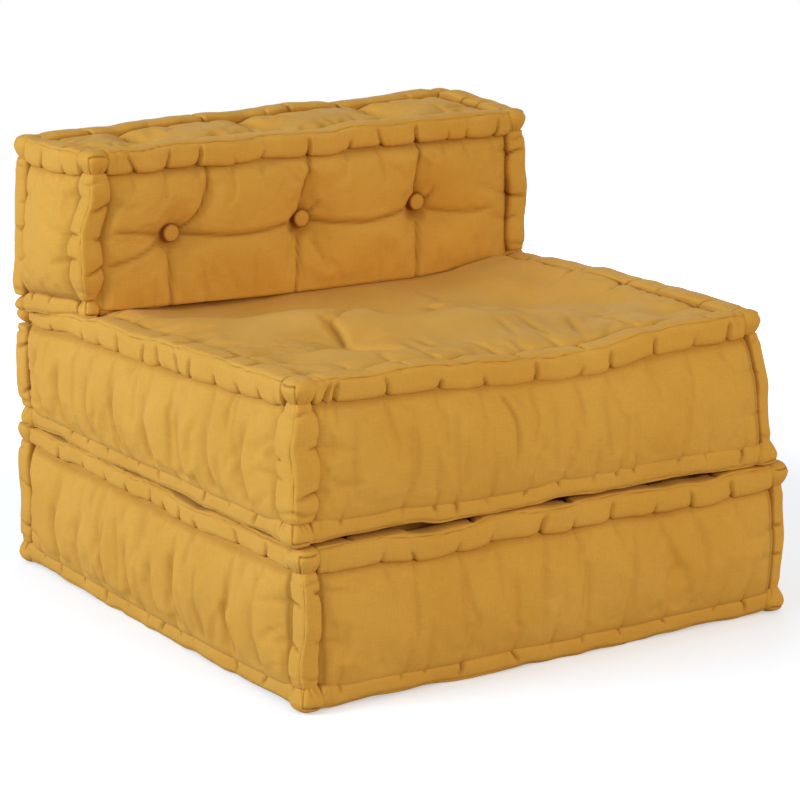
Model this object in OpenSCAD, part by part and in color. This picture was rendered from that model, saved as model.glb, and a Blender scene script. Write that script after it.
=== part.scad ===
// Modular sofa of three stuffed cotton cushions with rolled edges, in millimetres.
// The base cushion stands on the floor, the seat cushion lies loose on it, and the backrest stands on
// the rear of the seat, sewn to it along its rear lower edge. X is the width, the front faces -Y, +Z is up.
// The origin is on the floor, under the middle of the whole part.

/* [Base cushion] */
// Width over the rolled edges
base_w = 708; // [560:1:900]
// Depth over the rolled edges
base_d = 704; // [560:1:900]
// Height over the rolled edges
base_h = 188; // [150:1:260]
// Spacing of the sewn tufts of the base and the seat, both ways
tuft_pitch = 172; // [120:1:190]

/* [Seat cushion] */
// Width over the rolled edges
seat_w = 694; // [560:1:900]
// Depth over the rolled edges
seat_d = 690; // [560:1:900]
// Height over the rolled edges at the front
seat_h = 188; // [150:1:260]
// Height of the puffed top above its rolled edges
seat_crown = 4; // [4:0.5:20]
// How far the top is pressed down at the backrest's front
press_front = 9; // [0:0.5:14]
// How far the top is pressed down at its rear edge
press_rear = 28; // [0:0.5:40]
// Depth of a sewn tuft, as a share of the panel's swell
tuft_share = 0.62; // [0.2:0.02:0.8]
// Radius over which a sewn tuft draws the top down
tuft_radius = 48; // [30:1:70]
// How far its sides stand out past the rolled edges
seat_bulge = 3; // [0:0.5:6]

/* [Backrest cushion] */
// Width over the rolled edges
back_w = 676; // [600:1:900]
// Thickness from front to rear over the rolled edges
back_t = 182; // [150:1:240]
// Height of its top above the seat's front edge
back_rise = 184; // [150:1:300]
// How far the puffs of the front stand out past the rolled edges
back_puff = 5; // [0:0.5:8]
// Depth of the sewn creases, as a share of the panel's swell
crease_share = 0.6; // [0.2:0.05:0.7]
// Spacing of the covered buttons
button_pitch = 186; // [120:1:200]
// How far the middle button lies to the left of the middle
button_shift = 22; // [0:1:40]

/* [Rolled edges] */
// Diameter of a rolled edge at a corner knob
roll_d = 34; // [24:1:40]
// Size of a roll between two pinches, as a share of its size at a knob
roll_fat_share = 0.95; // [0.9:0.01:0.98]
// Size of a roll at a pinch
roll_pinch_share = 0.84; // [0.75:0.01:0.9]
// How much the middle of an edge is drawn in
draw_in_share = 0.05; // [0:0.01:0.08]

/* [Buttons and ties] */
// Diameter of a covered button
button_d = 20; // [14:0.5:22]
// Thickness of a covered button at its middle
button_t = 6.5; // [4:0.5:8]
// Diameter of the tufting twine
tie_d = 3; // [2:0.5:5]

/* [Hinge seam] */
// Diameter of the sewn seam roll that joins the backrest to the seat
seam_d = 13.4; // [8:0.1:13.6]

/* [Panels] */
// Thickness of a panel where it meets the rolled edges
panel_edge = 2; // [1:0.1:4]
// Distance from a rolled edge over which a panel swells to its full thickness
swell_run = 40; // [20:1:46]

/* [Hidden] */

// Clearance between sewn pieces, and between one cushion and the next
gap = 0.3;
// Half the clearance between the two cushions when the backrest hangs folded behind the seat
hinge_clear = 0.2;
// Cells across a side panel, along it, and up it
long_cell_count = 6;
up_cell_count = 3;
// Cells along a long rolled edge, two for each scallop, and along a short one
long_roll_cell_count = 12;
short_roll_cell_count = 4;
// Cells along the seat's sides: in front of the backrest, under its front roll, and behind that
seat_panel_cell_counts = [3, 1, 2];
seat_roll_cell_counts = [8, 1, 3];
// A rolled edge's section: depth of its sewn flat behind its centre, and the angles of its corners
flat_share = 0.35;
corner_step = 22.5;
roll_angles = [-3 * corner_step, -corner_step, corner_step, 3 * corner_step];
out_angle = 225;
seam_facets = 48;
button_facets = 48;
tie_facets = 24;
// How steeply a panel swells from its sewn edge: the power of the distance
swell_power = 0.6;
// How much deeper a button pulls the panel in than a crease does, as a share of the crease
button_sink_share = 0.35;
// Margin of the flattened crease round a button
button_margin = 0.5;

roll_r = roll_d / 2;
end_angle = acos(-flat_share);
flat_mid = roll_r * (1 + flat_share / sqrt(2));
flat_low = roll_r * (1 + cos(out_angle - end_angle));
reach = roll_r * (1 + cos(out_angle + end_angle));
inset = reach + gap;
panel_level = flat_low + panel_edge;
chamfer_sum = flat_low + reach + gap * sqrt(2);
chamfer = chamfer_sum - 2 * panel_level;

centre_shift = (hinge_clear + seam_d / 2) / 2;
rear_y = base_d / 2 - centre_shift;
hinge_y = rear_y + hinge_clear;
seat_z = base_h + gap;
seat_top_z = seat_z + seat_h;
back_z = seat_top_z + gap;
hinge_z = seat_top_z - press_rear + gap / 2;
back_front_y = rear_y - back_t;
seat_front_y = rear_y - seat_d;

// A cushion: half width, front, rear, bottom and top planes, and which face the backrest's weight shapes
PLAIN = 0;
PRESSED_TOP = 1;
PRESSED_BOTTOM = 2;
base = [base_w / 2, rear_y - base_d, rear_y, 0, base_h, PLAIN];
seat = [seat_w / 2, seat_front_y, rear_y, seat_z, seat_top_z, PRESSED_TOP];
back = [back_w / 2, back_front_y, rear_y, back_z, seat_top_z + back_rise, PRESSED_BOTTOM];

base_tuft_ys = tuft_rows(base);
seat_tuft_ys = tuft_rows(seat);
seat_side_ys = runs(
    [seat[1] + inset, back_front_y, back_front_y + inset, rear_y - inset],
    seat_panel_cell_counts
);
seat_ys = concat(
    [seat[1] + inset, seat[1] + inset + swell_run],
    [seat_tuft_ys[0], (seat_tuft_ys[0] + seat_tuft_ys[1]) / 2, seat_tuft_ys[1]],
    [(seat_tuft_ys[1] + back_front_y) / 2, back_front_y, back_front_y + inset],
    [rear_y - inset - swell_run, rear_y - inset]
);
back_ys = runs([back[1] + inset, rear_y - inset], [2]);

button_xs = [for (k = [-1:1]) k * button_pitch - button_shift];
button_flat = button_d / 2 + button_margin;
crease_z = (back_z - press_front + back[4]) / 2;
crease_y = (back[1] + back[2]) / 2;

// Cloth and thread colours
sunny_side = "#DDB35F";
front_side = "#C4923A";
top_side = "#C8A555";
rolled = "#D2A048";
stuffing = "#EDE6D6";
twine = "#B98A3C";

// How far the seat's top lies below its front edge at depth y
function press(y) = lookup(y, [
    [seat_front_y + inset, 0],
    [back_front_y, press_front],
    [back_front_y + inset, press_front],
    [rear_y - inset, press_rear]
]);
function top_z(c, y) = c[4] - (c[5] == PRESSED_TOP ? press(y) : 0);
function bottom_z(c, y) = c[3] - (c[5] == PRESSED_BOTTOM ? press(y) : 0);
function face_z(c, y, side) = side > 0 ? top_z(c, y) : bottom_z(c, y);
function face_y(c, side) = side > 0 ? c[2] : c[1];

// Stations that run through the given ends, with the given number of cells between each two
function runs(ends, cells) = [
    for (k = [0 : len(cells) - 1])
        for (i = [(k == 0 ? 0 : 1) : cells[k]])
            ends[k] + (ends[k + 1] - ends[k]) * i / cells[k]
];
// Rows of sewn tufts about the middle of a cushion
function tuft_rows(c) = [for (k = [-1:1]) (c[1] + c[2]) / 2 + k * tuft_pitch];
// Stations across a panel that is pressed flat: a strip at each end, where it swells, and a flat between
function rimmed(low, high) = concat([low], runs([low + swell_run, high - swell_run], [2]), [high]);
// Stations across the backrest, with a flat strip at each button
function across_buttons(low, high) = concat(
    runs([low, button_xs[0] - button_flat], [up_cell_count]),
    runs([button_xs[0] + button_flat, button_xs[1] - button_flat], [up_cell_count]),
    runs([button_xs[1] + button_flat, button_xs[2] - button_flat], [up_cell_count]),
    runs([button_xs[2] + button_flat, high], [up_cell_count])
);

// How full a panel is, from nothing at its sewn edge to all where it has swelled
function fullness(v, low, high) =
    pow(max(0, min(1, (v - low) / swell_run, (high - v) / swell_run)), swell_power);
// How far a sewn line draws the panel down at a distance from it
function drawn(d, reach_of_it) = exp(-pow(d / reach_of_it, 2));

// Faces of a solid between two grids of points, the inner grid first
function grid_faces(nu, nv, turned) =
    let (
        half = nu * nv,
        at = function (i, j, k) k * half + i * nv + j,
        cells = [for (i = [0 : nu - 2]) for (j = [0 : nv - 2]) [i, j]],
        outer = [for (c = cells) each [
            [at(c[0], c[1], 1), at(c[0] + 1, c[1], 1), at(c[0] + 1, c[1] + 1, 1)],
            [at(c[0], c[1], 1), at(c[0] + 1, c[1] + 1, 1), at(c[0], c[1] + 1, 1)]
        ]],
        inner = [for (c = cells) each [
            [at(c[0], c[1], 0), at(c[0] + 1, c[1] + 1, 0), at(c[0] + 1, c[1], 0)],
            [at(c[0], c[1], 0), at(c[0], c[1] + 1, 0), at(c[0] + 1, c[1] + 1, 0)]
        ]],
        rim = concat(
            [for (i = [0 : nu - 2]) [i, 0]],
            [for (j = [0 : nv - 2]) [nu - 1, j]],
            [for (i = [nu - 1 : -1 : 1]) [i, nv - 1]],
            [for (j = [nv - 1 : -1 : 1]) [0, j]]
        ),
        n = len(rim),
        wall = [for (k = [0 : n - 1])
            let (a = rim[k], b = rim[(k + 1) % n])
            each [
                [at(a[0], a[1], 0), at(b[0], b[1], 0), at(b[0], b[1], 1)],
                [at(a[0], a[1], 0), at(b[0], b[1], 1), at(a[0], a[1], 1)]
            ]
        ],
        all = concat(outer, inner, wall)
    )
    turned ? all : [for (f = all) [f[2], f[1], f[0]]];

// A solid whose inner face is flat on the filling and whose outer face is the stuffed panel
module padded_panel(inner, outer, turned) {
    nu = len(inner);
    nv = len(inner[0]);
    points = concat([for (row = inner) each row], [for (row = outer) each row]);
    polyhedron(points, grid_faces(nu, nv, turned), convexity = 6);
}

// Top or bottom panel of a cushion; thickness(x, y) is its height over the filling
module level_panel(c, side, xs, ys, thickness) {
    inner = [for (x = xs) [for (y = ys) [x, y, face_z(c, y, side) - side * panel_level]]];
    outer = [for (x = xs) [for (y = ys) [
        x, y, face_z(c, y, side) - side * (panel_level - thickness(x, y))
    ]]];
    padded_panel(inner, outer, side < 0);
}

// Front or rear panel of a cushion
module cross_panel(c, side, xs, zs, thickness) {
    y = face_y(c, side) - side * panel_level;
    inner = [for (x = xs) [for (z = zs) [x, y, z]]];
    outer = [for (x = xs) [for (z = zs) [x, y + side * thickness(x, z), z]]];
    padded_panel(inner, outer, side > 0);
}

// Left or right panel of a cushion, whose upper or lower edge may slope
module end_panel(c, side, ys, bulge) {
    x = side * (c[0] - panel_level);
    shares = runs([0, 1], [up_cell_count]);
    low = [for (y = ys) bottom_z(c, y) + inset];
    high = [for (y = ys) top_z(c, y) - inset];
    z_at = function (i, s) low[i] + (high[i] - low[i]) * s;
    full = function (i, s) panel_edge + (panel_level + bulge - panel_edge)
        * fullness(ys[i], ys[0], ys[len(ys) - 1]) * fullness(z_at(i, s), low[i], high[i]);
    inner = [for (i = [0 : len(ys) - 1]) [for (s = shares) [x, ys[i], z_at(i, s)]]];
    outer = [for (i = [0 : len(ys) - 1]) [for (s = shares) [x + side * full(i, s), ys[i], z_at(i, s)]]];
    padded_panel(inner, outer, side < 0);
}

// A panel's thickness from its crown, with what a tuft or a crease takes from its swell
function crowned(u, v, us, vs, bulge, sunk_share) = panel_edge
    + (panel_level + bulge - panel_edge) * (1 - sunk_share)
    * fullness(u, us[0], us[len(us) - 1]) * fullness(v, vs[0], vs[len(vs) - 1]);

// The stuffed block inside a cushion, with its edges bevelled for the rolls
module filling_block(c, ys) {
    w = c[0] - panel_level;
    y_ends = [c[1] + panel_level, c[2] - panel_level];
    body_ys = concat([y_ends[0] + chamfer], ys, [y_ends[1] - chamfer]);
    ring = function (y) let (t = top_z(c, y) - panel_level, b = bottom_z(c, y) + panel_level) [
        [-w, y, b + chamfer], [-w + chamfer, y, b], [w - chamfer, y, b], [w, y, b + chamfer],
        [w, y, t - chamfer], [w - chamfer, y, t], [-w + chamfer, y, t], [-w, y, t - chamfer]
    ];
    cap = function (y) let (t = top_z(c, y) - panel_level, b = bottom_z(c, y) + panel_level) [
        [-w + chamfer, y, b + chamfer], [w - chamfer, y, b + chamfer],
        [w - chamfer, y, t - chamfer], [-w + chamfer, y, t - chamfer]
    ];
    n = len(body_ys);
    points = concat(cap(y_ends[0]), [for (y = body_ys) each ring(y)], cap(y_ends[1]));
    side_faces = [for (k = [0 : n - 2]) for (i = [0 : 7])
        let (a = 4 + 8 * k + i, b = 4 + 8 * k + (i + 1) % 8)
        each [[a, a + 8, b + 8], [a, b + 8, b]]
    ];
    last = 4 + 8 * (n - 1);
    end = last + 8;
    end_faces = function (cap0, ring0) [for (m = [0 : 3])
        let (
            p = cap0 + m, q = cap0 + (m + 1) % 4,
            r1 = ring0 + (2 * m + 1) % 8, r2 = ring0 + (2 * m + 2) % 8, r0 = ring0 + 2 * m
        )
        each [[p, r0, r1], [p, r1, r2], [p, r2, q]]
    ];
    front = concat(end_faces(0, 4), [[0, 1, 2], [0, 2, 3]]);
    rear = [for (f = concat(end_faces(end, last), [[end, end + 1, end + 2], [end, end + 2, end + 3]]))
        [f[2], f[1], f[0]]];
    polyhedron(points, concat(side_faces, front, rear), convexity = 4);
}

// Corners of a roll's section, as distances inwards from the two faces that meet at its edge
function roll_section(size) = concat(
    [[flat_low, reach]],
    [for (a = roll_angles)
        let (tip = [cos(out_angle + a), sin(out_angle + a)] * roll_r / cos(corner_step))
        [flat_mid, flat_mid] + size * ([roll_r, roll_r] + tip - [flat_mid, flat_mid])],
    [[reach, flat_low]]
);

// Sizes of a roll's rings: pinched at both ends and between its scallops, drawn in at the middle
function roll_sizes(cells) = [for (i = [0 : cells])
    (i % 2 == 0 ? roll_pinch_share : roll_fat_share) - draw_in_share * sin(180 * i / cells)];

// A rolled edge along a line of edge points, with the two directions that lead into the cushion
module roll_tube(edge, into_a, into_b, turned) {
    cells = len(edge) - 1;
    sizes = roll_sizes(cells);
    k = len(roll_angles) + 2;
    points = [for (i = [0 : cells]) for (q = roll_section(sizes[i])) edge[i] + q[0] * into_a + q[1] * into_b];
    side_faces = [for (i = [0 : cells - 1]) for (j = [0 : k - 1])
        let (a = i * k + j, b = i * k + (j + 1) % k)
        each [[a, a + k, b + k], [a, b + k, b]]
    ];
    caps = concat(
        [for (j = [1 : k - 2]) [0, j, j + 1]],
        [for (j = [1 : k - 2]) [cells * k, cells * k + j + 1, cells * k + j]]
    );
    all = concat(side_faces, caps);
    polyhedron(points, turned ? all : [for (f = all) [f[2], f[1], f[0]]], convexity = 4);
}

module cross_roll(c, y_side, z_side, cells) {
    y = face_y(c, y_side);
    z = face_z(c, y, z_side);
    xs = runs([-c[0] + inset, c[0] - inset], [cells]);
    roll_tube([for (x = xs) [x, y, z]], [0, -y_side, 0], [0, 0, -z_side], y_side * z_side > 0);
}

module depth_roll(c, x_side, z_side, ys) {
    points = [for (y = ys) [x_side * c[0], y, face_z(c, y, z_side)]];
    roll_tube(points, [-x_side, 0, 0], [0, 0, -z_side], x_side * z_side < 0);
}

module upright_roll(c, x_side, y_side, cells) {
    y = face_y(c, y_side);
    zs = runs([bottom_z(c, y) + inset, top_z(c, y) - inset], [cells]);
    points = [for (z = zs) [x_side * c[0], y, z]];
    roll_tube(points, [-x_side, 0, 0], [0, -y_side, 0], x_side * y_side > 0);
}

// Four rolls round the top or the bottom of a cushion
module level_rolls(c, z_side, x_cells, ys) {
    for (side = [-1, 1]) {
        cross_roll(c, side, z_side, x_cells);
        depth_roll(c, side, z_side, ys);
    }
}

module upright_rolls(c) {
    for (x_side = [-1, 1])
        for (y_side = [-1, 1])
            upright_roll(c, x_side, y_side, short_roll_cell_count);
}

// The knob where three rolls cross: a short stub of each
module corner_knob() {
    stub = roll_section(1);
    linear_extrude(reach) polygon(stub);
    rotate([90, 0, 90]) linear_extrude(reach) polygon(stub);
    mirror([0, 1, 0]) rotate([90, 0, 0]) linear_extrude(reach) polygon(stub);
}

module corner_knobs(c) {
    for (x_side = [-1, 1])
        for (y_side = [-1, 1])
            for (z_side = [-1, 1])
                translate([x_side * c[0], face_y(c, y_side), face_z(c, face_y(c, y_side), z_side)])
                    mirror([x_side > 0 ? 1 : 0, 0, 0])
                        mirror([0, y_side > 0 ? 1 : 0, 0])
                            mirror([0, 0, z_side > 0 ? 1 : 0])
                                corner_knob();
}

// Tufting twine from panel to panel, or the bore that it runs in
module upright_ties(c, ys, d, end_gap) {
    for (x = [-1:1])
        for (y = ys)
            let (low = bottom_z(c, y) + panel_level + end_gap, high = top_z(c, y) - panel_level - end_gap)
                translate([x * tuft_pitch, y, low])
                    cylinder(h = high - low, d = d, $fn = tie_facets);
}

module level_ties(d, end_gap) {
    for (x = button_xs)
        translate([x, back[1] + panel_level + end_gap, crease_z])
            rotate([-90, 0, 0])
                cylinder(h = back_t - 2 * (panel_level + end_gap), d = d, $fn = tie_facets);
}
tie_bore = tie_d + 2 * gap;

tuft_xs = [for (k = [-1:1]) k * tuft_pitch];
// How far the nearest tuft draws a panel down
function tuft_pull(x, y, ys) =
    max([for (a = tuft_xs) for (b = ys) drawn(norm([x - a, y - b]), tuft_radius)]);

// Base cushion
base_xs = rimmed(-base[0] + inset, base[0] - inset);
base_ys = rimmed(base[1] + inset, base[2] - inset);
base_zs = runs([base[3] + inset, base[4] - inset], [up_cell_count]);
base_side_ys = runs([base[1] + inset, base[2] - inset], [long_cell_count]);
base_side_xs = runs([-base[0] + inset, base[0] - inset], [long_cell_count]);
function base_level(x, y) = crowned(x, y, base_xs, base_ys, 0, 0);
function base_cross(x, z) = crowned(x, z, base_side_xs, base_zs, 0, 0);
function base_rear(x, z) = crowned(x, z, base_side_xs, base_zs, -hinge_clear, 0);

module base_filling() color(stuffing) difference() {
    filling_block(base, base_side_ys);
    upright_ties(base, base_tuft_ys, tie_bore, -gap);
}
module base_top_panel() color(top_side)
    level_panel(base, 1, base_xs, base_ys, function (x, y) base_level(x, y));
module base_bottom_panel() color(front_side)
    level_panel(base, -1, base_xs, base_ys, function (x, y) base_level(x, y));
module base_front_panel() color(front_side)
    cross_panel(base, -1, base_side_xs, base_zs, function (x, z) base_cross(x, z));
module base_rear_panel() color(front_side)
    cross_panel(base, 1, base_side_xs, base_zs, function (x, z) base_rear(x, z));
module base_left_panel() color(sunny_side) end_panel(base, -1, base_side_ys, 0);
module base_right_panel() color(front_side) end_panel(base, 1, base_side_ys, 0);
base_roll_ys = runs([base[1] + inset, base[2] - inset], [long_roll_cell_count]);
module base_top_rolls() color(rolled) level_rolls(base, 1, long_roll_cell_count, base_roll_ys);
module base_bottom_rolls() color(rolled) level_rolls(base, -1, long_roll_cell_count, base_roll_ys);
module base_corner_rolls() color(rolled) upright_rolls(base);
module base_corner_knobs() color(rolled) corner_knobs(base);
module base_tufting_ties() color(twine) upright_ties(base, base_tuft_ys, tie_d, 0);

// Seat cushion
seat_low_xs = rimmed(-seat[0] + inset, seat[0] - inset);
seat_low_ys = rimmed(seat[1] + inset, rear_y - inset);
seat_side_xs = runs([-seat[0] + inset, seat[0] - inset], [long_cell_count]);
seat_xs = concat(
    [seat_low_xs[0], seat_low_xs[1]],
    runs(tuft_xs, [2, 2]),
    [seat_low_xs[3], seat_low_xs[4]]
);
function seat_zs(y) = runs([bottom_z(seat, y) + inset, top_z(seat, y) - inset], [up_cell_count]);
function seat_level(x, y) = y >= back_front_y
    ? crowned(x, y, seat_xs, seat_ys, 0, 0)
    : crowned(x, y, seat_xs, seat_ys, seat_crown, tuft_share * tuft_pull(x, y, seat_tuft_ys));
function seat_under(x, y) = crowned(x, y, seat_low_xs, seat_low_ys, 0, 0);
function seat_cross(x, z) = crowned(x, z, seat_side_xs, seat_zs(seat[1]), seat_bulge, 0);
function seat_rear(x, z) = crowned(x, z, seat_side_xs, seat_zs(seat[2]), -hinge_clear, 0);

module seat_filling() color(stuffing) difference() {
    filling_block(seat, seat_side_ys);
    upright_ties(seat, seat_tuft_ys, tie_bore, -gap);
}
module seat_top_panel() color(top_side)
    level_panel(seat, 1, seat_xs, seat_ys, function (x, y) seat_level(x, y));
module seat_bottom_panel() color(front_side)
    level_panel(seat, -1, seat_low_xs, seat_low_ys, function (x, y) seat_under(x, y));
module seat_front_panel() color(front_side)
    cross_panel(seat, -1, seat_side_xs, seat_zs(seat[1]), function (x, z) seat_cross(x, z));
module seat_rear_panel() color(front_side)
    cross_panel(seat, 1, seat_side_xs, seat_zs(seat[2]), function (x, z) seat_rear(x, z));
module seat_left_panel() color(sunny_side) end_panel(seat, -1, seat_side_ys, seat_bulge);
module seat_right_panel() color(front_side) end_panel(seat, 1, seat_side_ys, seat_bulge);
seat_roll_ys = runs(
    [seat[1] + inset, back_front_y, back_front_y + inset, rear_y - inset],
    seat_roll_cell_counts
);
module seat_top_rolls() color(rolled) level_rolls(seat, 1, long_roll_cell_count, seat_roll_ys);
module seat_bottom_rolls() color(rolled) level_rolls(seat, -1, long_roll_cell_count, seat_roll_ys);
module seat_corner_rolls() color(rolled) upright_rolls(seat);
module seat_corner_knobs() color(rolled) corner_knobs(seat);
module seat_tufting_ties() color(twine) upright_ties(seat, seat_tuft_ys, tie_d, 0);

// The sewn seam roll along the rear edge, on which the backrest turns
module hinge_seam() color(rolled)
    translate([-back_w / 2 + inset, hinge_y, hinge_z])
        rotate([0, 90, 0])
            cylinder(h = back_w - 2 * inset, d = seam_d, $fn = seam_facets);

// Backrest cushion
back_xs = across_buttons(-back[0] + inset, back[0] - inset);
back_low_xs = runs([-back[0] + inset, back[0] - inset], [long_cell_count]);
function back_zs(y) = let (low = bottom_z(back, y) + inset, high = top_z(back, y) - inset)
    concat(runs([low, crease_z - button_flat], [2]), runs([crease_z + button_flat, high], [2]));
back_depths = [back[1] + inset, crease_y - button_flat, crease_y + button_flat, rear_y - inset];
// Whether a place lies in a crease, from its distance to the crease's middle
function crease_pull(d) = d < button_flat + gap ? 1 : 0;
function nearest_button(x) = min([for (b = button_xs) abs(x - b)]);
// What the upright creases, the level one and a button at their crossing take from the panel's swell
function quilted(x, v, middle) =
    let (up = crease_pull(nearest_button(x)), level = crease_pull(abs(v - middle)))
    crease_share * (max(up, level) + button_sink_share * up * level);
function back_front(x, z) = crowned(x, z, back_xs, back_zs(back[1]), back_puff, quilted(x, z, crease_z));
function back_rear(x, z) = crowned(x, z, back_xs, back_zs(back[2]), -hinge_clear, quilted(x, z, crease_z));
function back_level(x, y) = crowned(x, y, back_xs, back_depths, back_puff, quilted(x, y, crease_y));

module backrest_filling() color(stuffing) difference() {
    filling_block(back, back_ys);
    level_ties(tie_bore, -gap);
}
module backrest_top_panel() color(top_side)
    level_panel(back, 1, back_xs, back_depths, function (x, y) back_level(x, y));
module backrest_bottom_panel() color(front_side)
    level_panel(back, -1, back_low_xs, back_ys, function (x, y) crowned(x, y, back_low_xs, back_ys, 0, 0));
module backrest_front_panel() color(front_side)
    cross_panel(back, -1, back_xs, back_zs(back[1]), function (x, z) back_front(x, z));
module backrest_rear_panel() color(front_side)
    cross_panel(back, 1, back_xs, back_zs(back[2]), function (x, z) back_rear(x, z));
module backrest_left_panel() color(sunny_side) end_panel(back, -1, back_ys, back_puff);
module backrest_right_panel() color(front_side) end_panel(back, 1, back_ys, back_puff);
back_roll_ys = runs([back[1] + inset, rear_y - inset], [short_roll_cell_count]);
module backrest_top_rolls() color(rolled) level_rolls(back, 1, long_roll_cell_count, back_roll_ys);
module backrest_bottom_rolls() color(rolled) level_rolls(back, -1, long_roll_cell_count, back_roll_ys);
module backrest_corner_rolls() color(rolled) upright_rolls(back);
module backrest_corner_knobs() color(rolled) corner_knobs(back);
module backrest_tufting_ties() color(twine) level_ties(tie_d, 0);

// A covered button: a domed disc
module covered_button() {
    dome = button_t / 2;
    dome_r = (pow(button_d / 2, 2) + pow(dome, 2)) / (2 * dome);
    rotate_extrude($fn = button_facets)
        intersection() {
            union() {
                square([button_d / 2, button_t - dome]);
                translate([0, button_t - dome_r])
                    circle(r = dome_r, $fn = 4 * button_facets);
            }
            square([button_d / 2, button_t]);
        }
}
module front_buttons() color(front_side)
    for (x = button_xs)
        translate([x, back[1] + panel_level - back_front(x, crease_z) - gap, crease_z])
            rotate([90, 0, 0])
                covered_button();
module rear_buttons() color(front_side)
    for (x = button_xs)
        translate([x, back[2] - panel_level + back_rear(x, crease_z) + gap, crease_z])
            rotate([-90, 0, 0])
                covered_button();

base_filling();
base_top_panel();
base_bottom_panel();
base_front_panel();
base_rear_panel();
base_left_panel();
base_right_panel();
base_top_rolls();
base_bottom_rolls();
base_corner_rolls();
base_corner_knobs();
base_tufting_ties();
seat_filling();
seat_top_panel();
seat_bottom_panel();
seat_front_panel();
seat_rear_panel();
seat_left_panel();
seat_right_panel();
seat_top_rolls();
seat_bottom_rolls();
seat_corner_rolls();
seat_corner_knobs();
seat_tufting_ties();
hinge_seam();
backrest_filling();
backrest_top_panel();
backrest_bottom_panel();
backrest_front_panel();
backrest_rear_panel();
backrest_left_panel();
backrest_right_panel();
backrest_top_rolls();
backrest_bottom_rolls();
backrest_corner_rolls();
backrest_corner_knobs();
backrest_tufting_ties();
front_buttons();
rear_buttons();
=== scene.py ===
import math

import bmesh
import bpy
import numpy as np
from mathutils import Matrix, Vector


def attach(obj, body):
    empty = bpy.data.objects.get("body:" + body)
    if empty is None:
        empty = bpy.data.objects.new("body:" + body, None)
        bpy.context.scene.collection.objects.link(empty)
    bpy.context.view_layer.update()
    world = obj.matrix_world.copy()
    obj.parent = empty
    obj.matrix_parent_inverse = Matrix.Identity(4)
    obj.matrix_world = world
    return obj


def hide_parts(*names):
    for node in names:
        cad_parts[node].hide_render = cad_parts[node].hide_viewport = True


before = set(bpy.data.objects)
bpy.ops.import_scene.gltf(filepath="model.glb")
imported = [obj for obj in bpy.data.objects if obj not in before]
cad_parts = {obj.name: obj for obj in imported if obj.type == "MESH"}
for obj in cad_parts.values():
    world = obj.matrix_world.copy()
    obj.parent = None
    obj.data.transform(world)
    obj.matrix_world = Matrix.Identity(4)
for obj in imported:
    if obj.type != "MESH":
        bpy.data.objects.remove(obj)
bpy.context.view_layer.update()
scene = bpy.context.scene
scene.view_settings.view_transform = "Standard"


# Camera: a long portrait lens at chest height, 3.8 m from the sofa's middle, off its front left
# corner. From so far away the cushions' upright edges stay nearly parallel.

camera_place = Vector((-2.020, -3.03445, 1.156))
camera_target = Vector((0.014, -0.00345, 0.239))
lens_mm, sensor_mm = 135, 36

bpy.ops.object.camera_add(location=camera_place,
                          rotation=(camera_target - camera_place).to_track_quat("-Z", "Y").to_euler())
camera = bpy.context.object
camera.name = "studio_camera"
camera.data.lens = lens_mm
camera.data.sensor_width = sensor_mm
camera.data.clip_start = 0.05
scene.camera = camera


# Floor: a seamless sheet of white paper. The lens sees it pure white and only the object's soft
# shadow stays on it.

def linear(code):
    """An sRGB hex value as a linear colour with full alpha."""
    parts = [int(code[i:i + 2], 16) / 255 for i in (1, 3, 5)]
    return (*[p / 12.92 if p <= 0.04045 else ((p + 0.055) / 1.055) ** 2.4 for p in parts], 1.0)


def node(tree, kind, settings=None, **links):
    """A shader node with its settings, its sockets' values and the sockets or nodes that feed it."""
    made = tree.nodes.new(kind)
    for name, value in (settings or {}).items():
        setattr(made, name, value)
    for name, value in links.items():
        key = int(name[1:]) if name[0] == "_" else name.replace("_", " ")
        if isinstance(value, bpy.types.Node):
            value = value.outputs[0]
        if isinstance(value, bpy.types.NodeSocket):
            tree.links.new(value, made.inputs[key])
        else:
            made.inputs[key].default_value = value
    return made


def new_material(name):
    """An empty node material, its tree and its output."""
    material = bpy.data.materials.new(name)
    material.use_nodes = True
    material.node_tree.nodes.clear()
    return material, material.node_tree


def new_piece(name, add, **settings):
    """A new primitive, which is the only thing selected."""
    bpy.ops.object.select_all(action="DESELECT")
    add(**settings)
    bpy.context.object.name = name
    return bpy.context.object


paper_white, paper_shade, backdrop_size = "#DFE8F6", "#B4B4B6", 4.6
paper_glow = 0.42           # strength, for the lens only: it lifts the open paper to pure white
glow_grows, glow_is_full = 0.75, 1.5        # m from the paper's middle

floor = new_piece("paper_floor", bpy.ops.mesh.primitive_plane_add, size=backdrop_size,
                  location=(0, 0, -0.0005))
material, tree = new_material("matt_white_paper")
paper = node(tree, "ShaderNodeBsdfDiffuse", Color=linear(paper_white))
dull = node(tree, "ShaderNodeBsdfDiffuse", Color=linear(paper_shade))
place = node(tree, "ShaderNodeTexCoord")
far = node(tree, "ShaderNodeVectorMath", {"operation": "LENGTH"}, _0=place.outputs["Object"])
strength = node(tree, "ShaderNodeMapRange", Value=far.outputs["Value"], From_Min=glow_grows,
                From_Max=glow_is_full, To_Min=paper_glow, To_Max=1.0)
glow = node(tree, "ShaderNodeEmission", Color=(1, 1, 1, 1), Strength=strength)
lit = node(tree, "ShaderNodeAddShader", _0=paper, _1=glow)
path = node(tree, "ShaderNodeLightPath")
seen = node(tree, "ShaderNodeMath", {"operation": "MAXIMUM"}, _0=path.outputs["Is Camera Ray"],
            _1=path.outputs["Is Glossy Ray"])
seen = node(tree, "ShaderNodeMath", {"operation": "MAXIMUM"}, _0=seen,
            _1=path.outputs["Is Transmission Ray"])
mixed = node(tree, "ShaderNodeMixShader", Fac=seen, _1=dull, _2=lit)
node(tree, "ShaderNodeOutputMaterial", Surface=mixed)
floor.data.materials.append(material)


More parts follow.
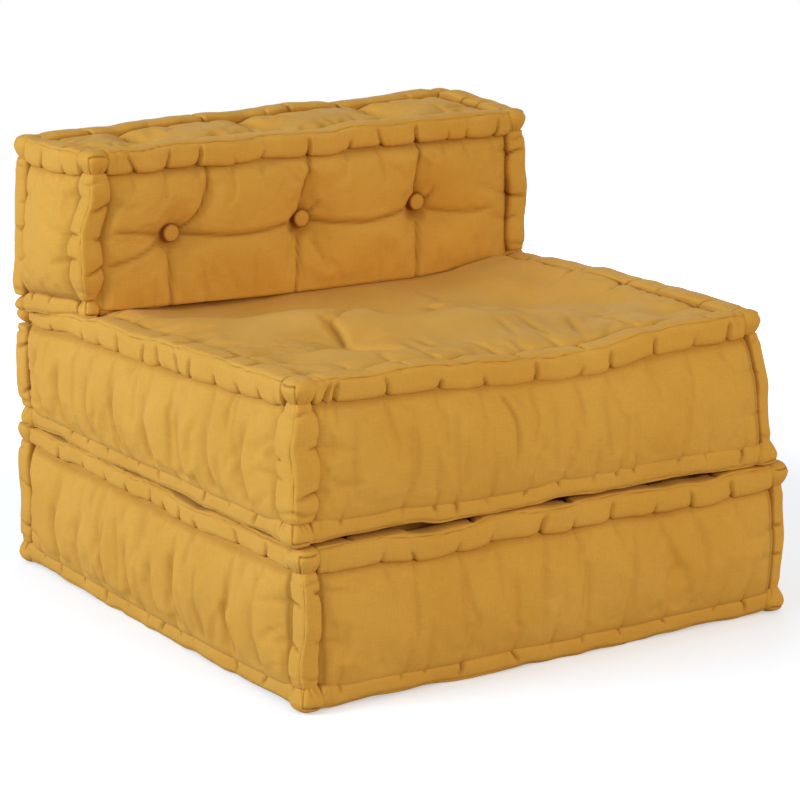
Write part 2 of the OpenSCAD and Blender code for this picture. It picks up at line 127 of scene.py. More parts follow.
# Studio light: a soft box on the left, a weaker warm one in front, a low one behind on the right, and
# the white room itself, which the camera sees as pure white.

room_light = 0.46           # strength of the room's own light
light_aim = Vector((0, 0, 0.25))

world = bpy.data.worlds.new("white_room")
scene.world = world
world.use_nodes = True
tree = world.node_tree
tree.nodes.clear()
path = node(tree, "ShaderNodeLightPath")
room = node(tree, "ShaderNodeBackground", Color=(0.96, 0.98, 1.0, 1), Strength=room_light)
white = node(tree, "ShaderNodeBackground", Color=(1, 1, 1, 1), Strength=1.0)
mixed = node(tree, "ShaderNodeMixShader", Fac=path.outputs["Is Camera Ray"], _1=room, _2=white)
node(tree, "ShaderNodeOutputWorld", Surface=mixed)

for name, place, width, watts, colour in (
        ("key_soft_box", (-4.0, 0.5, 1.75), 1.5, 124, (0.88, 0.945, 1.0)),
        ("front_soft_box", (0.5, -4.2, 1.5), 1.8, 76, (1.0, 0.82, 0.54)),
        ("rear_soft_box", (3.2, 3.8, 1.0), 2.0, 70, (1.0, 0.98, 0.95))):
    bpy.ops.object.light_add(type="AREA", location=place,
                             rotation=(light_aim - Vector(place)).to_track_quat("-Z", "Y").to_euler())
    lamp = bpy.context.object
    lamp.name = name
    lamp.data.shape, lamp.data.size, lamp.data.size_y = "RECTANGLE", width, width
    lamp.data.energy, lamp.data.color = watts, colour


# Cover cloth: mustard plain-weave cotton, piece-dyed and washed soft. It is matt with a short fuzz and
# its slubs run along both threads. Shade is painted into its colour: it turns deeper and browner down
# in the creases, along the rolls' edges, at the ties and in the gaps between the cushions.

# mustard_deep_and_shade is the colour of the seams' dark line and the flecks, and of the painted shade.
mustard, mustard_light, mustard_deep_and_shade = "#D29D41", "#D9A64B", "#7C430E"
thread_pitch = 0.0011       # m; really 0.0005, drawn coarser so that it still shows at this distance
slub_length = speck_pitch = 0.016           # m
speck_rarity = 0.86         # the share of the cells that have no fleck
painted_shade_share, seam_dark, speck_dark = 0.85, 0.42, 0.55       # shares of the deep colour: the painted shade, the seam's dark line and the flecks


def cotton_material(name):
    """Plain-weave cotton. It reads the UV map in metres, the crease attribute, which holds the painted shade,
    and the seam_gap attribute.
    """
    material, tree = new_material(name)
    uv = node(tree, "ShaderNodeUVMap", {"uv_map": "cloth"})

    def threads(*scale):
        """Slubby threads: noise that is short across the thread and long along it."""
        mapped = node(tree, "ShaderNodeMapping", Vector=uv, Scale=(*scale, 1))
        return node(tree, "ShaderNodeTexNoise", Vector=mapped, Scale=1.0, Detail=2.0, Roughness=0.6)

    warp = threads(1 / thread_pitch, 1 / slub_length)
    weft = threads(1 / slub_length, 1 / thread_pitch)
    weave = node(tree, "ShaderNodeMath", {"operation": "ADD"}, _0=warp, _1=weft)
    weave = node(tree, "ShaderNodeMapRange", Value=weave, From_Min=0.75, From_Max=1.25)
    place = node(tree, "ShaderNodeTexCoord").outputs["Object"]
    patches = node(tree, "ShaderNodeTexNoise", Vector=place, Scale=9.0, Detail=3.0)
    specks = node(tree, "ShaderNodeTexVoronoi", Vector=place, Scale=1 / speck_pitch)
    speck = node(tree, "ShaderNodeMapRange", Value=specks.outputs["Distance"], From_Min=0.03,
                 From_Max=0.07, To_Min=1.0, To_Max=0.0)
    rare = node(tree, "ShaderNodeMath", {"operation": "GREATER_THAN"}, _0=specks.outputs["Color"],
                _1=speck_rarity)
    speck = node(tree, "ShaderNodeMath", {"operation": "MULTIPLY"}, _0=speck, _1=rare)

    # The crease attribute is painted shade: it takes the cloth towards the deep colour in creases, along roll
    # edges, at ties, round buttons and in the gaps between the cushions.
    crease = node(tree, "ShaderNodeAttribute", {"attribute_name": "crease"}).outputs["Fac"]
    gap = node(tree, "ShaderNodeAttribute", {"attribute_name": "seam_gap"}).outputs["Fac"]
    seam = node(tree, "ShaderNodeMapRange", Value=gap, From_Min=0.0002, From_Max=0.0010, To_Min=1.0,
                To_Max=0.0)
    depth = node(tree, "ShaderNodeMath", {"operation": "MULTIPLY"}, _0=crease, _1=painted_shade_share)
    line = node(tree, "ShaderNodeMath", {"operation": "MULTIPLY"}, _0=seam, _1=seam_dark)
    spot = node(tree, "ShaderNodeMath", {"operation": "MULTIPLY"}, _0=speck, _1=speck_dark)
    dark = node(tree, "ShaderNodeMath", {"operation": "MAXIMUM"}, _0=depth, _1=line)
    dark = node(tree, "ShaderNodeMath", {"operation": "MAXIMUM"}, _0=dark, _1=spot)

    tone = node(tree, "ShaderNodeMapRange", Value=patches, From_Min=0.3, From_Max=0.7)
    cloth = node(tree, "ShaderNodeMix", {"data_type": "RGBA"}, Factor=tone, _6=linear(mustard),
                 _7=linear(mustard_light))
    grain = node(tree, "ShaderNodeMapRange", Value=weave, To_Min=0.945, To_Max=1.045)
    cloth = node(tree, "ShaderNodeVectorMath", {"operation": "SCALE"}, _0=cloth.outputs["Result"],
                 Scale=grain)
    # Painted shade, the seam's dark line and the flecks take the cloth towards the deep colour.
    cloth = node(tree, "ShaderNodeMix", {"data_type": "RGBA"}, Factor=dark, _6=cloth,
                 _7=linear(mustard_deep_and_shade))

    sunk = node(tree, "ShaderNodeMath", {"operation": "MULTIPLY_ADD"}, _0=seam, _1=-2.2, _2=weave)
    bump = node(tree, "ShaderNodeBump", Strength=0.35, Distance=0.0006, Height=sunk)
    shader = node(tree, "ShaderNodeBsdfPrincipled", Base_Color=cloth.outputs["Result"],
                  Roughness=0.9, IOR=1.45, Specular_IOR_Level=0.14, Sheen_Weight=0.08,
                  Sheen_Roughness=0.5, Sheen_Tint=(1.0, 0.86, 0.6, 1), Normal=bump)
    node(tree, "ShaderNodeOutputMaterial", Surface=shader)
    return material


cover_cotton = cotton_material("washed_plain_weave_cotton")


# Base cushion's cover: a stuffed cotton case that lies on the floor. Its panels are cut flat and
# swell between the rolled edges; twine ties pull soft dips into the top and bottom.

MM = 0.001
roll_radius = 17.0          # mm, of a stuffed rolled edge
OTHERS = {0: (1, 2), 1: (0, 2), 2: (0, 1)}
FACES = {"left": (0, 0), "right": (0, 1), "front": (1, 0), "rear": (1, 1), "bottom": (2, 0),
         "top": (2, 1)}


def smooth(x):
    """0 below 0, 1 above 1 and a soft step between."""
    x = np.clip(x, 0, 1)
    return x * x * (3 - 2 * x)


def bell(x, width):
    """1 at 0, and dying away softly over a width on both sides."""
    return np.exp(-(x / width) ** 2)


def dome(share, power=0.5):
    """0 at both ends of a span and 1 in its middle, as round as a filled cushion."""
    return np.clip(1 - (2 * share - 1) ** 2, 0, 1) ** power


def corners_of(bottom, top):
    """Roll-centre corners as an array by x, y and z side, from front left, front right, rear left and
    rear right of each level, in mm."""
    grid = np.zeros((2, 2, 2, 3))
    for z, level in ((0, bottom), (1, top)):
        for i, point in enumerate(level):
            grid[i % 2, i // 2, z] = point
    return grid


def rail(cushion, axis, i, j, t):
    """Points at shares t of the rail along an axis, on side i and j of the other two axes."""
    spot = [i, j]
    spot.insert(axis, slice(None))
    start, end = cushion["corners"][tuple(spot)]
    t = np.asarray(t, float)[..., None]
    points = start + (end - start) * t
    ends = np.clip(np.minimum(t, 1 - t) * 12, 0, 1)
    for middle, width, shift in cushion["bows"].get((axis, i, j), ()):
        points = points + np.array(shift, float) * bell(t - middle, width) * ends
    return points


def rail_span(cushion, axis, i, j):
    """Where a rail starts, in mm along its own axis, and how long it is."""
    start, end = rail(cushion, axis, i, j, np.array([0.0, 1.0]))
    return start[axis], float(np.linalg.norm(end - start))


def patch(cushion, axis, side, u, v):
    """Points of the face that an axis and a side name, spanned between its four rails."""
    p, q = OTHERS[axis]

    def edge(along, other, t):
        key = sorted(((axis, side), (p if along == q else q, other)))
        return rail(cushion, along, key[0][1], key[1][1], t)

    uu, vv = u[..., None], v[..., None]
    across = (1 - vv) * edge(p, 0, u) + vv * edge(p, 1, u)
    up = (1 - uu) * edge(q, 0, v) + uu * edge(q, 1, v)
    zero, one = np.zeros(1), np.ones(1)
    flat = ((1 - uu) * (1 - vv) * edge(p, 0, zero) + uu * (1 - vv) * edge(p, 0, one)
            + (1 - uu) * vv * edge(p, 1, zero) + uu * vv * edge(p, 1, one))
    return across + up - flat


def curve_through(points, pieces=8):
    """A smooth line through three or more points, as a dense polyline."""
    points = np.array(points, float)
    ends = np.vstack([2 * points[0] - points[1], points, 2 * points[-1] - points[-2]])
    t = np.linspace(0, 1, pieces, endpoint=False)[:, None]
    out = []
    for a, b, c, d in zip(ends, ends[1:], ends[2:], ends[3:]):
        out.append(0.5 * (2 * b + (c - a) * t + (2 * a - 5 * b + 4 * c - d) * t ** 2
                          + (3 * b - a - 3 * c + d) * t ** 3))
    return np.vstack([*out, points[-1:]])


def fold_lines(U, V, lines, lip=0.45):
    """How far creases sink the cloth and how much shade is painted along them. A crease is (points, depth,
    width, fade): fade is the share of its length over which it dies out at its first and last end."""
    drop, dark = np.zeros_like(U), np.zeros_like(U)
    for points, depth, width, fade in lines:
        points = curve_through(points)
        low, high = points.min(0) - 4 * width, points.max(0) + 4 * width
        close = (U > low[0]) & (U < high[0]) & (V > low[1]) & (V < high[1])
        if not close.any():
            continue
        spot = np.stack([U[close], V[close]], -1)
        steps = np.diff(points, axis=0)
        lengths = np.linalg.norm(steps, axis=1)
        travelled = np.concatenate([[0], np.cumsum(lengths)])
        near = np.full(len(spot), 1e9)
        along, hand = np.zeros(len(spot)), np.ones(len(spot))
        for i, (start, step, length) in enumerate(zip(points, steps, lengths)):
            off = spot - start
            share = np.clip(off @ step / length ** 2, 0, 1)
            distance = np.linalg.norm(off - share[:, None] * step, axis=1)
            better = distance < near
            near[better] = distance[better]
            along[better] = (travelled[i] + share[better] * length) / travelled[-1]
            cross = step[0] * off[:, 1] - step[1] * off[:, 0]
            hand[better] = np.sign(cross[better])
        shape = smooth(along / max(fade[0], 1e-3)) * smooth((1 - along) / max(fade[1], 1e-3))
        sink = bell(near, width) - lip * bell(near * hand - 1.9 * width, 1.3 * width)
        drop[close] += depth * shape * sink
        # painted shade along the crease
        dark[close] = np.maximum(dark[close], shape * min(1, depth / 3.5) * min(1, 3 / width)
                                 * bell(near, 0.6 * width))
    return drop, dark


def wave(s, seed, step, amount):
    """A soft random line: values about a step apart, joined smoothly."""
    random = np.random.default_rng(seed)
    values = random.uniform(-amount, amount, int(s.max() / step) + 4)
    at = np.clip(s / step, 0, None) + random.uniform(0, 1)
    low = at.astype(int)
    share = smooth(at - low)
    return values[low] * (1 - share) + values[low + 1] * share


def lumps(U, V, seed, step, amount):
    """Soft random hills about a step apart, as wadding makes under cloth."""
    random = np.random.default_rng(seed)
    values = random.uniform(-amount, amount, (int(U.max() / step) + 4, int(V.max() / step) + 4))
    a, b = np.clip(U / step, 0, None) + 0.37, np.clip(V / step, 0, None) + 0.61
    i, j = a.astype(int), b.astype(int)
    x, y = smooth(a - i), smooth(b - j)
    return ((values[i, j] * (1 - x) + values[i + 1, j] * x) * (1 - y)
            + (values[i, j + 1] * (1 - x) + values[i + 1, j + 1] * x) * y)


def inset(U, V, size):
    """How far each point of a panel lies from its nearest edge."""
    return np.minimum(np.minimum(U, size[0] - U), np.minimum(V, size[1] - V))


def between_stitches(at, places, start, end):
    """Which span between two stitches each place lies in, and how far along it."""
    edges = np.concatenate([[start], places, [end]])
    cell = np.clip(np.searchsorted(edges, at) - 1, 0, len(edges) - 2)
    return cell, np.clip((at - edges[cell]) / (edges[cell + 1] - edges[cell]), 0, 1)


def panel_field(U, V, size, panel, tucks, seed, fine=True):
    """Height of a stuffed panel over the plane of its rolls' centres, and the shade painted along its
    creases, roll edges and ties, both from the distances along the panel in mm."""
    lu, lv = size
    lumpy, flat = panel.get("lumps", 1.6), panel.get("flat", 3)
    hangs, overhangs = panel.get("hangs"), panel.get("overhangs")

    def rise(d, start=panel.get("start", 9), steep=panel.get("steep", 9)):
        return 1 - np.exp(-np.clip(d - start, 0, None) / steep)

    foot = rise(V, -2, 4) if overhangs else rise(V, 2, 6) if hangs else rise(V)
    far = rise(lu - U, 3, 6) if panel.get("spills") else rise(lu - U)
    edge = rise(U) * far * foot * rise(lv - V)
    height = (panel["height"] + panel["crown"] * (dome(U / lu, 0.55) * dome(V / lv, 0.55))) * edge
    height = height + smooth((inset(U, V, size) - 12) / 25) * (
        lumps(U, V, seed, 74, lumpy) + lumps(U, V, seed + 1, 27, 0.35 * lumpy))
    # Painted shade: a dark line where the panel dives in beside each roll, and a wider one at a spilling end.
    dark = np.zeros_like(U)
    for d in (U, lu - U, lv - V) if hangs or overhangs else (U, lu - U, lv - V, V):
        dark = np.maximum(dark, 0.45 * bell(d - roll_radius, 1.8))
    if panel.get("spills"):
        dark = np.maximum(dark, 0.85 * bell(lu - U - 10.5, 2.4))
    for rows, along, inward, length in ((tucks[0], U, V, lu), (tucks[1], U, lv - V, lu),
                                        (tucks[2], V, U, lv), (tucks[3], V, lu - U, lv)):
        deep = np.clip(inward - roll_radius, 0, None)
        places, pulls, reaches, leans = np.array(sorted(rows)).T
        bent = deep * (1 + deep / 70)
        line = along - np.interp(along, places, leans) * bent
        _, share = between_stitches(line, places, 0, length)
        pull = np.interp(line, places, pulls)
        fade = np.exp(-(deep / np.interp(line, places, reaches)) ** 1.2)
        height = height + pull * fade * (dome(share) - 0.72) * (inward > 0)
        off = np.abs(line - places[np.abs(line[:, None] - places[None]).argmin(1)])
        height = height - 0.55 * pull * fade * bell(off, 2.6 + 0.04 * deep) * (inward > 0)
        # painted shade where a stitch gathers the cloth
        dark = np.maximum(dark, 0.14 * np.minimum(pull, 5) * np.exp(-(deep / 14)) * bell(off, 2.2))
    for u, v, depth, radius in panel.get("tufts", ()):
        r = np.hypot(U - u, V - v)
        height = height - depth * np.exp(-(np.clip(r - flat, 0, None) / radius) ** 1.15)
        # painted shade in the tie's dip
        shade = 0.8 if depth > 12 else 0.3
        dark = np.maximum(dark, shade * np.exp(-(r / (flat + 3.5)) ** 4))
    for points, depth, width in panel.get("valleys", ()):
        sunk, _ = fold_lines(U, V, [(points, depth, width, (0.08, 0.3))], lip=0.0)
        height = height - sunk
    if fine:
        # painted shade along the folds
        drop, lines = fold_lines(U, V, panel.get("folds", ()))
        height, dark = height - drop, np.maximum(dark, lines)
    return np.where(edge > 0, height, 0), dark


def points_of(mesh):
    """A mesh's points as an array."""
    co = np.empty(len(mesh.vertices) * 3)
    mesh.vertices.foreach_get("co", co)
    return co.reshape(-1, 3)


def put_points(mesh, co):
    """Moves a mesh's points to the rows of an array."""
    mesh.vertices.foreach_set("co", np.asarray(co, np.float32).ravel())
    mesh.update()


def cut_along(axis, pieces):
    """Cuts every edge along one axis of the mesh in edit mode into equal pieces."""
    for part in pieces:
        form = bmesh.from_edit_mesh(bpy.context.object.data)
        bpy.ops.mesh.select_all(action="DESELECT")
        bpy.ops.mesh.select_mode(type="EDGE")
        for edge in form.edges:
            run = edge.verts[1].co - edge.verts[0].co
            edge.select_set(abs(run[axis]) > 0.9 * run.length)
        bmesh.update_edit_mesh(bpy.context.object.data)
        bpy.ops.mesh.subdivide(number_cuts=part - 1)


def in_edit_mode(work, *args, **settings):
    """Does one thing to the whole mesh in hand in edit mode."""
    bpy.ops.object.mode_set(mode="EDIT")
    bpy.ops.mesh.select_all(action="SELECT")
    work(*args, **settings)
    bpy.ops.object.mode_set(mode="OBJECT")


def finish_cloth(piece, dark, gap, uv, turn_faces=False):
    """Gives a mesh its painted shade (the crease attribute), its distances from the seam and its UV map, both
    in m, and the cotton.
    """
    mesh = piece.data
    for name, values in (("crease", dark), ("seam_gap", gap)):
        numbers = mesh.attributes.new(name, "FLOAT", "POINT")
        numbers.data.foreach_set("value", np.asarray(values, np.float32))
    layer = mesh.uv_layers.new(name="cloth")
    layer.data.foreach_set("uv", np.asarray(uv, np.float32).ravel())
    mesh.uv_layers.active = layer
    bpy.ops.object.select_all(action="DESELECT")
    piece.select_set(True)
    bpy.context.view_layer.objects.active = piece
    if turn_faces:
        in_edit_mode(bpy.ops.mesh.normals_make_consistent, inside=False)
    bpy.ops.object.shade_smooth()
    mesh.materials.append(cover_cotton)


def corner_points(mesh):
    """The point of each face corner, and the face of each face corner."""
    loops = np.empty(len(mesh.loops), int)
    mesh.loops.foreach_get("vertex_index", loops)
    sizes = np.empty(len(mesh.polygons), int)
    mesh.polygons.foreach_get("loop_total", sizes)
    return loops, np.repeat(np.arange(len(sizes)), sizes)


def cut_cube(name, cells):
    """A cube from 0 to 1 whose faces are cut into small cells."""
    piece = new_piece(name, bpy.ops.mesh.primitive_cube_add, size=1, location=(0.5, 0.5, 0.5))
    bpy.ops.object.transform_apply(location=True)
    for axis in range(3):
        in_edit_mode(cut_along, axis, cells[axis])
    return piece


def to_levels(U, V, level, size, wanted):
    """Soft hills and hollows that bring a panel to the levels it has at some places (u, v, level), and
    leave it alone along its edges."""
    soft = 26.0             # mm

    def between(u, v, spots):
        return np.sqrt((u[:, None] - spots[:, 0]) ** 2 + (v[:, None] - spots[:, 1]) ** 2 + soft ** 2) - soft

    wanted = np.array(wanted, float)
    nearest = np.hypot(U[:, None] - wanted[:, 0], V[:, None] - wanted[:, 1]).argmin(0)
    short = np.clip(wanted[:, 2] - level[nearest], -40, 40)
    rim = [(u, v) for u in np.linspace(22, size[0] - 22, 9) for v in (22, size[1] - 22)]
    rim += [(u, v) for v in np.linspace(22, size[1] - 22, 9)[1:-1] for u in (22, size[0] - 22)]
    spots = np.vstack([wanted[:, :2], rim])
    short = np.concatenate([short, np.zeros(len(rim))])
    count = len(spots)
    system = np.zeros((count + 1, count + 1))
    system[:count, :count] = between(spots[:, 0], spots[:, 1], spots)
    system[:count, count] = system[count, :count] = 1
    pull = np.linalg.solve(system, np.append(short, 0))
    inside = smooth((inset(U, V, size) - 12) / 22)
    return (between(U, V, spots) @ pull[:count] + pull[count]) * inside


def cover_shape(grid, cushion, squeeze, fine=True):
    """Where a cover's points lie, how much shade is painted along its creases, roll edges and ties, how far
    each is from a held line, which points are on each face, and the case's size in mm."""
    held_edge, held_tie = 16, 8         # mm that the rolls and the ties hold
    corners, spots, dark = cushion["corners"], np.zeros_like(grid), np.zeros(len(grid))
    free, where = np.full(len(grid), 1e3), {}
    size = ((corners[1, 1, 1] + corners[1, 0, 0] - corners[0, 1, 1] - corners[0, 0, 0])[0] / 2,
            (corners[0, 1, 0] - corners[0, 0, 0])[1], (corners[0, 0, 1] - corners[0, 0, 0])[2])
    for face, (axis, side) in FACES.items():
        on = np.abs(grid[:, axis] - side) < 1e-4
        p, q = OTHERS[axis]
        u, v = grid[on, p], grid[on, q]
        U, V, spread = u * size[p], v * size[q], (size[p], size[q])
        panel = cushion["panels"][face]
        height, shade = panel_field(U, V, spread, panel, cushion["tucks"][face],
                                    cushion["seed"] + 10 * axis + side, fine)
        spots[on] = patch(cushion, axis, side, u, v)
        spots[on, axis] += height if side else -height
        if "levels" in panel:
            spots[on, axis] += to_levels(U, V, spots[on, axis], spread, panel["levels"])
        dark[on] = np.maximum(dark[on], shade)
        clear = inset(U, V, spread) - held_edge
        for tuft in panel.get("tufts", ()):
            clear = np.minimum(clear, np.hypot(U - tuft[0], V - tuft[1]) - held_tie)
        if panel.get("pressed"):
            clear = np.minimum(clear, 0)
        free[on] = np.minimum(free[on], clear)
        where[face] = on
    return squeeze(spots, where), dark, free, where, size


def settle(cushion, cells, squeeze):
    """Cloth simulation of a cover on a coarser net: the case is cut a little larger than its filling, the
    filling presses it out, and the rolled edges and ties hold it. Gives each face's moves in mm."""
    frames, largest_move, shared_move = 16, 9.0, 0.8
    piece = cut_cube("settling_cloth", cells)
    grid = points_of(piece.data)
    spots, _, free, where, _ = cover_shape(grid, cushion, squeeze, fine=False)
    put_points(piece.data, spots * MM)
    held = piece.vertex_groups.new(name="held")
    held.add(np.nonzero(free <= 0)[0].tolist(), 1.0, "REPLACE")
    cloth = piece.modifiers.new("cloth", "CLOTH")
    settings = cloth.settings
    settings.quality, settings.mass, settings.air_damping = 5, 0.2, 1.5
    settings.tension_stiffness = settings.compression_stiffness = 12
    settings.shear_stiffness, settings.bending_stiffness = 4, 0.15
    settings.vertex_group_mass, settings.shrink_min = "held", -0.03
    settings.use_pressure, settings.uniform_pressure_force = True, 2.0
    settings.effector_weights.gravity = 0
    cloth.collision_settings.use_collision = False
    cloth.point_cache.frame_start, cloth.point_cache.frame_end = 1, frames
    for number in range(1, frames + 1):
        scene.frame_set(number)
    bpy.context.view_layer.objects.active = piece
    bpy.ops.object.modifier_apply(modifier="cloth")
    scene.frame_set(1)
    moves = points_of(piece.data) / MM - spots
    far = np.linalg.norm(moves, axis=1)
    moves *= (np.minimum(far, largest_move) / np.maximum(far, 1e-6))[:, None]
    moves *= smooth(free / 12)[:, None]
    nets = {}
    for face, (axis, side) in FACES.items():
        p, q = OTHERS[axis]
        wide, high, on = int(np.prod(cells[p])), int(np.prod(cells[q])), where[face]
        net = np.zeros((wide + 1, high + 1, 3))
        net[np.rint(grid[on, p] * wide).astype(int), np.rint(grid[on, q] * high).astype(int)] = moves[on]
        even = net.copy()               # most of what a whole face moves is already in its crown
        for _ in range(36):
            even[1:-1, 1:-1] = 0.2 * (even[1:-1, 1:-1] + even[2:, 1:-1] + even[:-2, 1:-1] + even[1:-1, 2:]
                                      + even[1:-1, :-2])
        nets[face] = (net - shared_move * even) * cushion["panels"][face].get("settled", 1.0)
    bpy.data.objects.remove(piece, do_unlink=True)
    return nets


def sampled(net, u, v):
    """Values of a net at shares u and v of it, joined by a smooth cubic."""
    def weights(t):
        return np.stack([-0.5 * t + t ** 2 - 0.5 * t ** 3, 1 - 2.5 * t ** 2 + 1.5 * t ** 3,
                         0.5 * t + 2 * t ** 2 - 1.5 * t ** 3, -0.5 * t ** 2 + 0.5 * t ** 3])

    wide, high = net.shape[0] - 1, net.shape[1] - 1
    i, j = np.clip((u * wide).astype(int), 0, wide - 1), np.clip((v * high).astype(int), 0, high - 1)
    a, b = weights(u * wide - i), weights(v * high - j)
    out = 0
    for k in range(4):
        row = np.clip(i + k - 1, 0, wide)
        for m in range(4):
            out = out + (a[k] * b[m])[:, None] * net[row, np.clip(j + m - 1, 0, high)]
    return out


def make_cover(name, cushion, cells, coarse, squeeze):
    """A cushion's cover: the shape between its rails with its fine creases, and over it the simulated
    cloth's moves."""
    piece = cut_cube(name, cells)
    mesh = piece.data
    grid = points_of(mesh)
    spots, dark, _, where, size = cover_shape(grid, cushion, squeeze)
    nets = settle(cushion, coarse, squeeze)
    for face, (axis, side) in FACES.items():
        on, (p, q) = where[face], OTHERS[axis]
        spots[on] += sampled(nets[face], grid[on, p], grid[on, q])
    spots = squeeze(spots, where)
    put_points(mesh, spots * MM)
    corner, of_face = corner_points(mesh)
    middle = np.zeros((len(mesh.polygons), 3))
    np.add.at(middle, of_face, grid[corner])
    middle /= np.bincount(of_face)[:, None]
    uv = np.zeros((len(corner), 2))
    for axis, side in FACES.values():
        on = (np.abs(middle[:, axis] - side) < 1e-4)[of_face]
        p, q = OTHERS[axis]
        uv[on, 0], uv[on, 1] = grid[corner[on], p] * size[p] * MM, grid[corner[on], q] * size[q] * MM
    finish_cloth(piece, dark, np.ones(len(grid)), uv)
    return piece


def girth(near, far, *radii):
    """A roll's radius along its length, from its radii in mm at some places counted from its start and at
    some counted back from its end."""
    return lambda s, length: np.interp(s, [*near, *[length - place for place in far]], radii)


def make_roll(name, cushion, axis, i, j, rings, tucks, salt, around=44, radius=None):
    """A rolled edge between two corners. tucks holds the stitches of its two halves, as rows of a place in
    mm from its start, a depth and a lean."""
    piece = new_piece(name, bpy.ops.mesh.primitive_cylinder_add, vertices=around, radius=1, depth=1,
                      end_fill_type="NGON", location=(0, 0, 0))
    in_edit_mode(cut_along, 2, rings)
    grid = points_of(piece.data)
    angle = np.arctan2(grid[:, 1], grid[:, 0])
    angle = angle - 0.32 * np.sin(angle)
    p, q = OTHERS[axis]
    first, second = np.eye(3)[p] * (2 * i - 1), np.eye(3)[q] * (2 * j - 1)
    outward, across = (first + second) / math.sqrt(2), (first - second) / math.sqrt(2)
    _, length = rail_span(cushion, axis, i, j)
    margin = 12.0 / length              # the roll ends this far inside its corners
    t = margin + (1 - 2 * margin) * np.clip(grid[:, 2] + 0.5, 0, 1)
    s = t * length
    centre = rail(cushion, axis, i, j, t) + (np.sin(math.pi * t) ** 0.5)[:, None] * (
        (wave(s, salt, 66, 2.6) + wave(s, salt + 31, 24, 1.2))[:, None] * outward
        + (wave(s, salt + 1, 52, 3.2) + wave(s, salt + 32, 21, 1.1))[:, None] * across)
    size = radius(s, length) if radius else np.full(len(s), roll_radius)
    size = size * (1 + wave(s, salt + 33, 47, 0.05))
    size = size * (1 - (0.2 if axis == 2 else 0.08) * (bell(s - 10, 9) + bell(length - s - 10, 9)))
    squareness = 3.6
    c, d = np.abs(np.cos(angle - math.pi / 4)), np.abs(np.sin(angle - math.pi / 4))
    reach = (c ** squareness + d ** squareness) ** (-1 / squareness)
    swell, dark = np.zeros(len(s)), np.zeros(len(s))
    for hand, rows in zip((1, -1), tucks):
        half, turn = hand * angle > 0, hand * angle
        inner = smooth((turn - 0.35) / 1.2)
        cell, share = between_stitches(s, sorted(row[0] for row in rows), 8, length - 8)
        full = 0.35 + np.abs(np.sin(7.3 * cell + salt))
        bulge = (dome(share) - 0.62) * full * (0.8 + (1.8 if axis < 2 else 2.6) * inner)
        bulge += wave(s, salt + 2 + hand, 31, 0.55) + wave(s + 9 * turn, salt + 7 + hand, 13, 0.28)
        swell += np.where(half, bulge * smooth(turn / 0.5), 0)
        for place, depth, lean in rows:
            top = 0.75 if depth < 3.2 else 0.05
            weight = smooth((turn - top) / 0.55)
            gap = s - place - lean * (1.7 - turn) - 2.2 * np.sin(1.9 * turn + place)
            swell -= np.where(half, depth * weight * (
                0.9 * bell(gap, 1.9) - 0.3 * bell(gap - 4.6, 2.6) + 0.35 * bell(gap, 8)), 0)
            # painted shade in the notch of each stitch
            dark = np.maximum(dark, np.where(half, min(1, depth / 2.6) * weight * (0.5 + 0.5 * inner)
                                             * bell(gap, 1.5), 0))
    tilt = 21.5 + 2.6 * np.sin(1.4 * angle + salt) + 1.2 * np.sin(4 * angle + salt)
    neck = bell(s - tilt, 2.6) + bell(length - s - tilt, 2.6)
    neck *= (0.65 + 0.35 * np.sin(2.2 * angle + 2 * salt)) * (1 if axis == 2 else 0.45)
    thin = np.minimum(size / roll_radius, 1)
    swell -= (cushion.get("neck", 1.7) + 1) * neck * thin
    # painted shade in the neck
    dark = np.maximum(dark, 0.35 * neck ** 2)
    off_seam = angle - wave(s, salt + 34, 38, 0.13)
    swell -= 1.1 * bell(off_seam * size, 1.7)
    swell -= 0.8 * np.sign(off_seam) * bell(off_seam * size, 5.0)
    r = size * reach + swell * thin
    r = np.where(np.abs(angle) > 2.2, np.minimum(r, size), r)
    spots = centre + r[:, None] * (np.cos(angle)[:, None] * outward + np.sin(angle)[:, None] * across)
    if "clamp" in cushion:
        spots[:, 2] = np.clip(spots[:, 2], *cushion["clamp"])
    put_points(piece.data, spots * MM)
    # Painted shade on the side that turns in towards the panel, on a spilling panel's roll, and on the half
    # that faces the gap between the cushions.
    dark = np.maximum(dark, (0.6 if axis == 2 else 0.42) * smooth((np.abs(angle) - 1.5) / 0.3))
    if axis == 2 and i and not j and cushion["panels"]["front"].get("spills"):
        dark = np.maximum(dark, 0.8 * smooth((-angle - 1.05) / 0.35))
    if axis < 2 and j == cushion.get("shaded"):
        dark = np.maximum(dark, 0.42 * smooth((-angle - 0.8) / 0.5))
    corner, of_face = corner_points(piece.data)
    turned = angle[corner]
    lowest, highest = [np.full(len(piece.data.polygons), limit) for limit in (9.0, -9.0)]
    np.minimum.at(lowest, of_face, turned)
    np.maximum.at(highest, of_face, turned)
    wraps = (highest - lowest > math.pi)[of_face] & (turned < 0)
    turned = np.where(wraps, turned + 2 * math.pi, turned)
    finish_cloth(piece, dark, np.abs(off_seam) * roll_radius * MM,
                 np.stack([s[corner], turned * roll_radius], -1) * MM, turn_faces=True)
    return piece


def joined(name, pieces):
    """Several meshes made one piece."""
    bpy.ops.object.select_all(action="DESELECT")
    for piece in pieces:
        piece.select_set(True)
    bpy.context.view_layer.objects.active = pieces[0]
    bpy.ops.object.join()
    whole = bpy.context.object
    whole.name = name
    return whole


